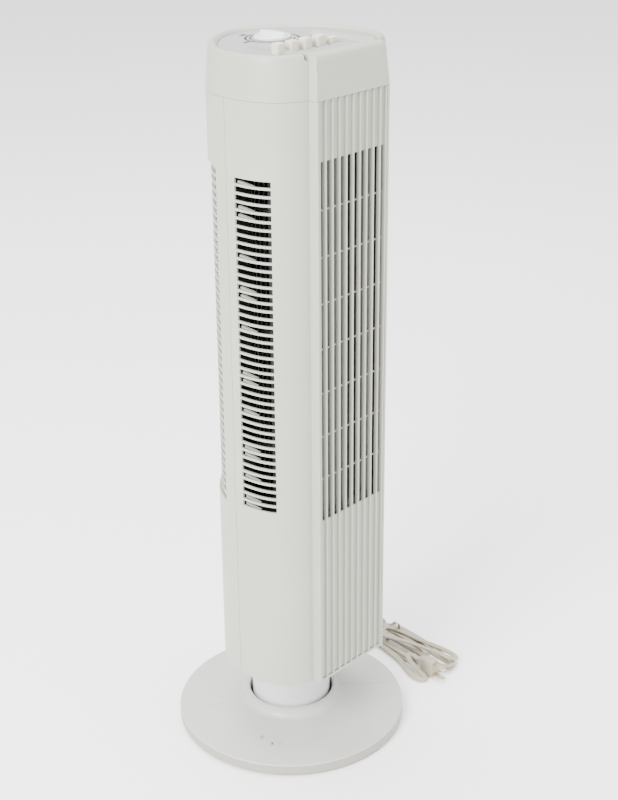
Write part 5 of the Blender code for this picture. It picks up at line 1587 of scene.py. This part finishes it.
@dataclass
class Buttons:
    """Five push buttons with soft edges and a dished top."""

    names: ClassVar[tuple[str, ...]] = ("button_off", "button_low", "button_medium", "button_high",
                                        "button_oscillate")
    flange: float = 1.5 * MM
    corner: float = 1.6 * MM
    roll: float = 1.1 * MM
    stem: float = 4.0 * MM

    def button(self, name: str) -> bpy.types.Object:
        """Rings of a rounded rectangle: flange, shaft, a rolled edge and a top that dips like a shallow bowl.

        Args:
            name: the button's CAD node.

        Returns:
            The button.
        """
        a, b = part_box(name)
        centre = node_middle(name)
        wide = 2 * self.flange
        width, depth = b.x - a.x - wide, b.y - a.y - wide
        thin = (self.stem - width, self.stem - depth)
        steps = [(*thin, a.z), (*thin, a.z + 6 * MM), (wide, wide, a.z + 6.1 * MM),
                 (wide, wide, a.z + 7.4 * MM), (0.0, 0.0, a.z + 7.5 * MM)]
        for angle in np.linspace(0, math.pi / 2, 6):
            shrink = 2 * self.roll * (1 - math.cos(angle))
            steps.append((-shrink, -shrink, b.z - self.roll * (1 - math.sin(angle))))
        for share, dip in ((0.7, 0.12), (0.4, 0.3), (0.12, 0.38)):
            steps.append((-width * (1 - share) * 0.9, -depth * (1 - share) * 0.9, b.z - dip * MM))
        rings = []
        for grow_x, grow_y, z in steps:
            w, d = width + grow_x, depth + grow_y
            corner = min(self.corner, w * 0.45, d * 0.45)
            rings.append(at_height(rounded_box(centre, w, d, corner), z))
        return Shape().add(*lofted(np.stack(rings))).piece(name + "_cap", 50)

    def build(self, shop: Workshop) -> None:
        """Builds and fits each button."""
        for name in self.names:
            shop.fit(self.button(name), Slot.BUTTON, name, name)


# ---------------------------------------------------------------- base and neck

@dataclass
class Stand:
    """Two-part round base and glossy neck."""

    rim: float = 126.5 * MM
    foot: float = 122.9 * MM
    hole: float = 46.6 * MM
    seam: float = math.radians(-34.0)
    gap: float = 0.18 * MM
    rim_roll: float = 1.4 * MM
    rim_top: float = 15.0 * MM
    collar: float = 60.5 * MM
    collar_foot: float = 23.2 * MM
    rib_count: int = 6
    rib_half: float = 0.8 * MM

    def profile(self) -> np.ndarray:
        """Half section of the base, anticlockwise: underside, hub wall, collar, cone and rolled rim.

        The rim and the collar's foot are quarter turns. Along the cone's skirt the height rises by three
        quarters of the share run plus one quarter of its square.

        Returns:
            Rows of radius and height.
        """
        turn = np.linspace(0, math.pi / 2, 9)
        crest = self.rim - self.rim_roll
        rim = np.column_stack([crest + self.rim_roll * np.cos(turn),
                               self.rim_top - self.rim_roll * (1 - np.sin(turn))])
        share = np.linspace(0, 1, 14)[1:]
        rise = 0.75 * share + 0.25 * share ** 2
        skirt = np.column_stack([crest + (self.collar - crest) * share,
                                 self.rim_top + (self.collar_foot - self.rim_top) * rise])
        collar = np.column_stack([self.collar - 9.5 * MM * np.sin(turn[1:]),
                                  self.collar_foot + 9.6 * MM * (1 - np.cos(turn[1:]))])
        hole = self.hole / MM
        lip = np.array([[49.6, 33.6], [48.4, 34.0], [47.3, 33.9], [hole, 33.2]]) * MM
        well = np.array([[hole, 12.0], [38.9, 12.0], [38.9, 8.0], [49.6, 8.0], [49.6, 25.5], [57.5, 20.2],
                         [119.9, 11.6], [119.9, 1.0], [self.foot / MM, 1.0],
                         [self.rim / MM - 0.4, 3.2], [self.rim / MM, 6.0]]) * MM
        return np.vstack([rim, skirt, collar, lip, well])

    def half(self, name: str, start: float) -> bpy.types.Object:
        """One half of the base turned through 180 degrees, with its ribs and foot bosses.

        Args:
            name: the piece's name.
            start: angle of the half's first edge, in radians.

        Returns:
            The half.
        """
        shape = Shape().add(*revolved(self.profile()[::-1], 90, start=start, sweep=math.pi))
        away = np.array([math.cos(start + math.pi / 2), math.sin(start + math.pi / 2), 0.0]) * self.gap
        section = np.array([[50.0, 8.5], [119.0, 3.5], [121.5, 11.9], [57.0, 20.6], [50.0, 25.0]]) * MM
        for angle in start + (np.arange(self.rib_count) + 0.5) * math.pi / self.rib_count:
            rings = []
            for side in (-self.rib_half, self.rib_half):
                flat = np.column_stack([section[:, 0], np.full(len(section), side)])
                rings.append(np.column_stack([turned(flat, angle), section[:, 1]]))
            shape.add(*lofted(np.stack(rings)))
        for index in range(4):
            centre = node_middle(f"foot_{index + 1}")
            if centre[0] * away[0] + centre[1] * away[1] > 0:
                boss = np.array([[0.5, 2.0], [7.5, 2.0], [7.5, 12.5], [0.5, 12.5]]) * MM
                shape.add(*revolved(boss, 32, centre))
        for points in shape.points:
            points += away
        return shape.piece(name, 32)

    def neck(self) -> bpy.types.Object:
        """The neck: threaded foot, glossy tube with rolled edges, closed top and spigot.

        Returns:
            The neck.
        """
        seat = 12.3
        thread = [[38.5 - 0.5 * (i % 2), 3.0 + 0.75 * i] for i in range(13)]
        tube = [[38.5, seat], [43.2, seat], [43.5, seat + 0.5], [43.5, 95.8], [43.1, 96.8], [42.2, 97.0]]
        spigot = [[20.0, 97.0], [20.0, 113.1], [19.6, 113.5], [12.0, 113.5]]
        inside = [[12.0, 93.5], [40.0, 93.5], [40.0, 15.8], [35.0, 15.8], [35.0, 3.0]]
        outline = np.array(thread + tube + spigot + inside) * MM
        return Shape().add(*revolved(outline, 128)).piece("neck_tube", 30)

    def build(self, shop: Workshop) -> None:
        """Builds and fits the base and the neck.

        Args:
            shop: dresses and fits the pieces.
        """
        shop.fit(self.half("base_front", self.seam + math.pi), Slot.BASE, "base", "base_front_half")
        shop.fit(self.half("base_rear", self.seam), Slot.BASE, "base", "base_rear_half")
        shop.fit(self.neck(), Slot.NECK, "base", "neck")


# ---------------------------------------------------------------- mains cord

@dataclass
class MainsCord:
    """Flat two-core cord: strain relief, lead on the floor, tied hank and plug.

    The lead's and the tail's points are in millimetres. The hank's own directions are turned about the pivot.
    """

    width: float = 6.4 * MM
    thick: float = 3.3 * MM
    length: float = 1.8
    exit_angle: float = math.radians(50.0)
    exit_reach: float = 146.5 * MM
    exit_z: float = 6.2 * MM
    turn: float = math.radians(-7.0)
    pivot: tuple[float, float] = (178.0 * MM, -32.0 * MM)
    tie_y: float = 10.0 * MM
    plug_x: float = 164.5 * MM
    plug_back: float = -59.3 * MM
    plug_front: float = -85.3 * MM
    plug_z: float = 11.4 * MM
    blade_pitch: float = 12.7 * MM
    blade_half: float = 3.17 * MM
    blade_tip: float = -98.6 * MM
    lead: tuple[tuple[float, float, float], ...] = (
        (107, 127.5, 4.2), (124, 145, 3.4), (147, 152, 3.4), (170, 144, 3.4), (186, 123, 3.4),
        (192.5, 98, 3.4), (191.5, 76, 3.4))
    tail: tuple[tuple[float, float, float], ...] = (
        (191, 58, 9), (178, 62, 11), (168, 50, 13), (168, 20, 15), (171, -10, 16.5), (176, -40, 17.5),
        (181, -66, 16.5), (186, -82, 13), (194, -86, 9.5), (200, -78, 8.5), (201, -60, 8.5), (198, -30, 9),
        (197, 0, 9), (192, 30, 8), (182, 46, 8), (171, 44, 7), (166, 28, 6), (162, 0, 5), (155, -30, 4),
        (146, -50, 3.4), (140.5, -62, 3.4), (139, -73, 3.4), (143, -80, 3.4), (148.5, -75, 3.6),
        (151, -64, 5.5), (152, -55, 8.5), (154, -47, 11.5), (159, -42, 13), (162.5, -47, 12),
        (161.7, -54, 11.4), (161.0, -60, 11.3))

    def placed(self, points: np.ndarray) -> np.ndarray:
        """Points along the hank's own directions turned into the fan's frame.

        Args:
            points: rows of x, y and z in the hank's directions.

        Returns:
            Rows of x, y and z in the fan's frame.
        """
        pivot = np.array(self.pivot)
        return np.column_stack([turned(points[:, :2] - pivot, self.turn) + pivot, points[:, 2]])

    def loop(self, centre: float, radius: float, near: float, far: float, low: float, high: float,
             bow: float = 0.0) -> np.ndarray:
        """One wound turn: down the right leg, round the near end, up the left leg and round the far end.

        The legs are straight, the right one bowed outwards by a sine. The ends are half circles, and the
        height slides from one leg's to the other's round each end.

        Args:
            centre: x of the line between the legs.
            radius: half the distance between the legs.
            near: y where the near end starts.
            far: y where the far end starts.
            low: the left leg's height.
            high: the right leg's height.
            bow: how far the right leg bows out.

        Returns:
            Rows of x, y and z.
        """
        run = np.linspace(0, 1, 6)[1:-1]
        bend = np.linspace(0, math.pi, 7)
        right = np.column_stack([centre + radius + bow * np.sin(run * math.pi), far - (far - near) * run,
                                 np.full(4, high)])
        near_end = np.column_stack([centre + radius * np.cos(bend), near - radius * np.sin(bend),
                                    high + (low - high) * bend / math.pi])
        left = np.column_stack([np.full(4, centre - radius), near + (far - near) * run, np.full(4, low)])
        far_end = np.column_stack([centre - radius * np.cos(bend), far + radius * np.sin(bend),
                                   low + (high - low) * bend / math.pi])
        return np.vstack([right, near_end, left, far_end])

    def route(self) -> np.ndarray:
        """The whole centreline from the base to the plug, as even points.

        Returns:
            Rows of x, y and z.
        """
        ray = np.array([math.cos(self.exit_angle), math.sin(self.exit_angle), 0.0])
        way_out = np.vstack([ray * (self.exit_reach - back * MM) + [0, 0, self.exit_z]
                             for back in (18, 8, 0)])
        entry = self.placed(np.array([[178, 56, 3.4], [179, 42, 3.4], [184, 30, 2.6]]) * MM)
        turns = []
        short = [(0, 13.5, 2.7, 2.7, 0.0), (2, 12.0, 5.8, 5.8, 2.0)]
        long = [(1, 9.6, 5.8, 2.7, 0.0), (3, 9.8, 9.0, 6.0, 6.0)]
        for order, radius, low, high, bow in sorted(short + long):
            wide = radius > 11
            centre = (177.0 if wide else 187.0) + 0.5 * math.sin(order * 2.1)
            near = (-40.0 if wide else -77.0) + 1.8 * math.sin(order * 3.3)
            far = (36.0 if wide else 40.0) + 1.5 * math.sin(order * 1.7)
            turns.append(MM * self.loop(centre, radius, near, far, low, high, bow))
        last = np.array(self.tail) * MM
        wound = np.vstack([self.placed(np.vstack(turns)), last])
        return smooth_line(np.vstack([way_out, np.array(self.lead) * MM, entry, wound]), 1.6 * MM)

    def section(self) -> np.ndarray:
        """Two round cores side by side with a shallow groove between them, as one closed outline.

        Sideways and upward places are the powers 0.75 and 0.8 of a circle's, and the groove is a narrow dip
        about the middle.

        Returns:
            Rows of sideways and upward places.
        """
        u, v = circle(28).T
        pinch = 1 - 0.22 * np.exp(-(u / 0.22) ** 2)
        return np.column_stack([self.width / 2 * np.sign(u) * np.abs(u) ** 0.75,
                                self.thick / 2 * np.sign(v) * np.abs(v) ** 0.8 * pinch])

    def cord(self) -> tuple[bpy.types.Object, np.ndarray]:
        """The cord itself: the section carried along the route with a slow, uneven twist.

        Returns:
            The cord and its centreline.
        """
        path = self.route()
        run = np.r_[0, np.cumsum(np.linalg.norm(np.diff(path, axis=0), axis=1))]
        LOG.info("cord is %.3f m long", run[-1])
        inside = np.clip((run - 0.19) / 0.05, 0, 1)
        twist = inside * (0.22 * np.sin(run * 31.0) + 0.14 * np.sin(run * 53.0 + 1.1))
        return Shape().add(*carried(path, self.section(), twist)).piece("cord", 70), path

    def relief(self) -> bpy.types.Object:
        """Tapered sleeve: a profile of radius against distance, with shallow rings, turned about the exit.

        Returns:
            The sleeve.
        """
        distance = np.linspace(0, 20, 41)
        taper = 5.0 - 1.15 * distance / 20
        ringed = taper - 0.45 * (np.mod(distance, 4.0) < 1.3) * (distance > 2) * (distance < 18.5)
        outer = np.column_stack([np.r_[5.0, 5.0, ringed], np.r_[-10, -2, distance]])
        profile = np.vstack([outer, [[3.55, 20.0], [3.55, -10.0]]]) * MM
        points, faces = revolved(profile, 40)
        ray = np.array([math.cos(self.exit_angle), math.sin(self.exit_angle), 0.0])
        side = np.array([-ray[1], ray[0], 0.0])
        origin = ray * 126.5 * MM + [0, 0, self.exit_z]
        turned = origin + points[:, :1] * side + points[:, 1:2] * [0, 0, 1.0] + points[:, 2:] * ray
        return Shape().add(turned, faces).piece("cord_relief", 30)

    def tie(self) -> bpy.types.Object:
        """Wire tie round the strands: a flat band along a rounded rectangle, with two ends twisted together.

        Each end runs along a helix whose cosine part shrinks a little towards its tip.

        Returns:
            The tie.
        """
        y = self.tie_y
        outline = rounded_box((177.5 * MM, 9.6 * MM), 37.5 * MM, 18.0 * MM, 7 * MM, 8)
        outer = inset(outline, -0.5 * MM)
        rings = [np.column_stack([line[:, 0], np.full(len(line), y + w), line[:, 1]])
                 for line, w in ((outer, -2 * MM), (outline, -2 * MM), (outline, 2 * MM), (outer, 2 * MM))]
        points = self.placed(np.stack(rings).reshape(-1, 3))
        shape = Shape().add(points, grid_faces(4, len(outline), True, True))
        share = np.linspace(0, 1, 24)
        for phase in (0.0, math.pi):
            swing = 18 * share + phase
            knot = np.column_stack([(181 + 9 * share) * MM, y + 0.9 * MM * np.cos(swing) * (1 - 0.2 * share),
                                    (19.2 + 1.2 * share) * MM + 0.9 * MM * np.sin(swing)])
            points, faces = carried(knot, circle(8) * 0.55 * MM, np.zeros(24))
            shape.add(self.placed(points), faces)
        return shape.piece("cord_band", 50)

    def plug(self) -> bpy.types.Object:
        """Moulded plug: rounded rectangles along its length that swell to a grip and narrow to a neck.

        Its long side stands upright, so that the blades lie one above the other.

        Returns:
            The plug without its blades.
        """
        x, back, front = self.plug_x, self.plug_back, self.plug_front
        stations = ((0.0, 0.92, 0.94), (0.03, 0.99, 0.99), (0.1, 1.0, 1.0), (0.3, 0.98, 1.0),
                    (0.48, 0.90, 0.93), (0.62, 0.80, 0.84), (0.74, 0.74, 0.72), (0.84, 0.70, 0.56),
                    (0.93, 0.66, 0.46), (1.0, 0.60, 0.42))
        rings = []
        for share, wide, tall in stations:
            outline = rounded_box((0.0, 0.0), 13 * MM * wide, 21.6 * MM * tall, 3.6 * MM * min(wide, tall))
            y = front + (back - front) * share
            rings.append(np.column_stack([x + outline[:, 0], np.full(len(outline), y),
                                          self.plug_z + outline[:, 1]]))
        points, faces = lofted(np.stack(rings))
        shape = Shape().add(self.placed(points), [face[::-1] for face in faces])
        ribs = []
        for y in np.arange(-79.0, -68.0, 2.6):
            for side in (-1, 1):
                ribs.append([[x + side * 6.1 * MM - 0.8 * MM, (y - 0.6) * MM, 4.5 * MM],
                             [x + side * 6.1 * MM + 0.8 * MM, (y + 0.6) * MM, 18.3 * MM]])
        ribs = np.array(ribs)
        points, faces = blocks(ribs[:, 0], ribs[:, 1])
        shape.add(self.placed(points), faces)
        return settle(soften(shape.piece("plug_grip", 45), 0.3 * MM))

    def blade(self, name: str) -> bpy.types.Object:
        """A flat blade with a rounded tip and a hole near it.

        Args:
            name: the blade's CAD node.

        Returns:
            The blade.
        """
        x, half = self.plug_x, self.blade_half
        z = self.plug_z - 0.1 * MM + (-0.5 if name.endswith("1") else 0.5) * self.blade_pitch
        turn = np.linspace(math.pi, 2 * math.pi, 9)
        tip = np.column_stack([x + half * np.cos(turn), self.blade_tip + 2.7 * MM * np.sin(turn)])
        outline = np.vstack([tip, [[x + half, -81.0 * MM], [x - half, -81.0 * MM]]])
        points, faces = stacked(outline, [z - 0.75 * MM, z + 0.75 * MM])
        made = Shape().add(points, faces).piece(name + "_metal")
        hole = circle(16) * 1.6 * MM + [x, self.blade_tip + 2.6 * MM]
        tool = Shape().add(*stacked(hole, [z - 3 * MM, z + 3 * MM])).piece("blade_tool")
        made = cut_away(made, tool)
        centre = Matrix.Translation((*self.pivot, 0.0))
        made.data.transform(centre @ Matrix.Rotation(self.turn, 4, "Z") @ centre.inverted())
        return made

    def build(self, shop: Workshop) -> None:
        """Args:
            shop: dresses and fits the pieces.
        """
        cord, path = self.cord()
        shop.fit(cord, Slot.CORD, "base", "cord_lead", "cord_hank")
        relief = shop.fit(self.relief(), Slot.CORD, "base", "strain_relief")
        tie = shop.fit(self.tie(), Slot.CORD, "base", "cord_tie")
        plug = shop.fit(self.plug(), Slot.CORD, "base", "plug_body")
        blades = [shop.fit(self.blade(name), Slot.BRASS, "base", name)
                  for name in ("plug_blade_1", "plug_blade_2")]


# ---------------------------------------------------------------- stage

@dataclass(frozen=True)
class Lamp:
    """A soft square lamp: where it hangs, what it faces, its side in metres and its power in watts."""

    name: str
    place: tuple[float, float, float]
    aim: tuple[float, float, float]
    size: float
    power: float


LAMPS = (
    Lamp("key", (-2.6, -0.5, 2.1), (0.0, 0.0, 0.4), 1.4, 260.0),
    Lamp("fill", (0.6, -2.8, 1.3), (0.0, 0.0, 0.4), 2.0, 30.0),
    Lamp("top", (0.3, 0.6, 3.2), (0.0, 0.0, 0.0), 2.4, 150.0),
)


@dataclass
class Studio:
    """Camera, lights and floor. The lens is for a 36 mm sensor along the picture's long side."""

    place: tuple[float, float, float] = (-1.0460, -1.0053, 1.0241)
    azimuth: float = math.radians(-47.045)
    elevation: float = math.radians(23.77)
    roll: float = math.radians(-0.50)
    sensor: float = 36.0
    lens: float = 68.2875
    ambient: float = 1.9
    floor_half: float = 30.0

    def camera(self) -> None:
        """Places the camera from its azimuth, elevation and roll."""
        az, el = self.azimuth, self.elevation
        back = Vector((math.sin(az) * math.cos(el), -math.cos(az) * math.cos(el), math.sin(el)))
        right = Vector((math.cos(az), math.sin(az), 0.0))
        up = back.cross(right)
        side = right * math.cos(self.roll) + up * math.sin(self.roll)
        top = up * math.cos(self.roll) - right * math.sin(self.roll)
        data = bpy.data.cameras.new("camera")
        data.sensor_width = self.sensor
        data.lens = self.lens
        camera = bpy.data.objects.new("camera", data)
        turn = Matrix((side, top, back)).transposed().to_4x4()
        camera.matrix_world = Matrix.Translation(self.place) @ turn
        bpy.context.scene.collection.objects.link(camera)
        bpy.context.scene.camera = camera

    @staticmethod
    def light(lamp: Lamp) -> None:
        """Hangs a soft square lamp that faces its aim.

        Args:
            lamp: the lamp.
        """
        data = bpy.data.lights.new(lamp.name, "AREA")
        data.size = lamp.size
        data.energy = lamp.power
        holder = bpy.data.objects.new(lamp.name, data)
        holder.location = lamp.place
        holder.rotation_euler = (Vector(lamp.aim) - Vector(lamp.place)).to_track_quat("-Z", "Y").to_euler()
        bpy.context.scene.collection.objects.link(holder)

    def build(self) -> None:
        """Lights the stage and lays the floor."""
        self.camera()
        for lamp in LAMPS:
            self.light(lamp)
        world = bpy.data.worlds.new("studio")
        world.use_nodes = True
        world.node_tree.nodes["Background"].inputs["Color"].default_value = (1.0, 1.0, 1.0, 1.0)
        world.node_tree.nodes["Background"].inputs["Strength"].default_value = self.ambient
        bpy.context.scene.world = world
        corners = np.array([[-1, -1, 0], [1, -1, 0], [1, 1, 0], [-1, 1, 0]]) * self.floor_half
        floor = Shape().add(corners, [[0, 1, 2, 3]]).piece("floor")
        material = bpy.data.materials.new("pale_floor")
        material.use_nodes = True
        shader = material.node_tree.nodes["Principled BSDF"]
        shader.inputs["Base Color"].default_value = (0.96, 0.96, 0.96, 1.0)
        shader.inputs["Roughness"].default_value = 0.9
        floor.data.materials.append(material)


def main() -> None:
    """Loads the frame and builds every sub-assembly around it."""
    logging.basicConfig(level=logging.INFO, format="%(message)s")
    for item in list(bpy.data.objects):
        bpy.data.objects.remove(item)
    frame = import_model()
    Studio().build()
    shop = Workshop()
    MainsCord().build(shop)
    shop.dress_frame(frame)
    Stand().build(shop)
    Housing().build(shop)
    Outlet().build(shop)
    Blower().build(shop)
    Cap().build(shop)
    Knob().build(shop)
    Buttons().build(shop)


if __name__ == "__main__":
    main()
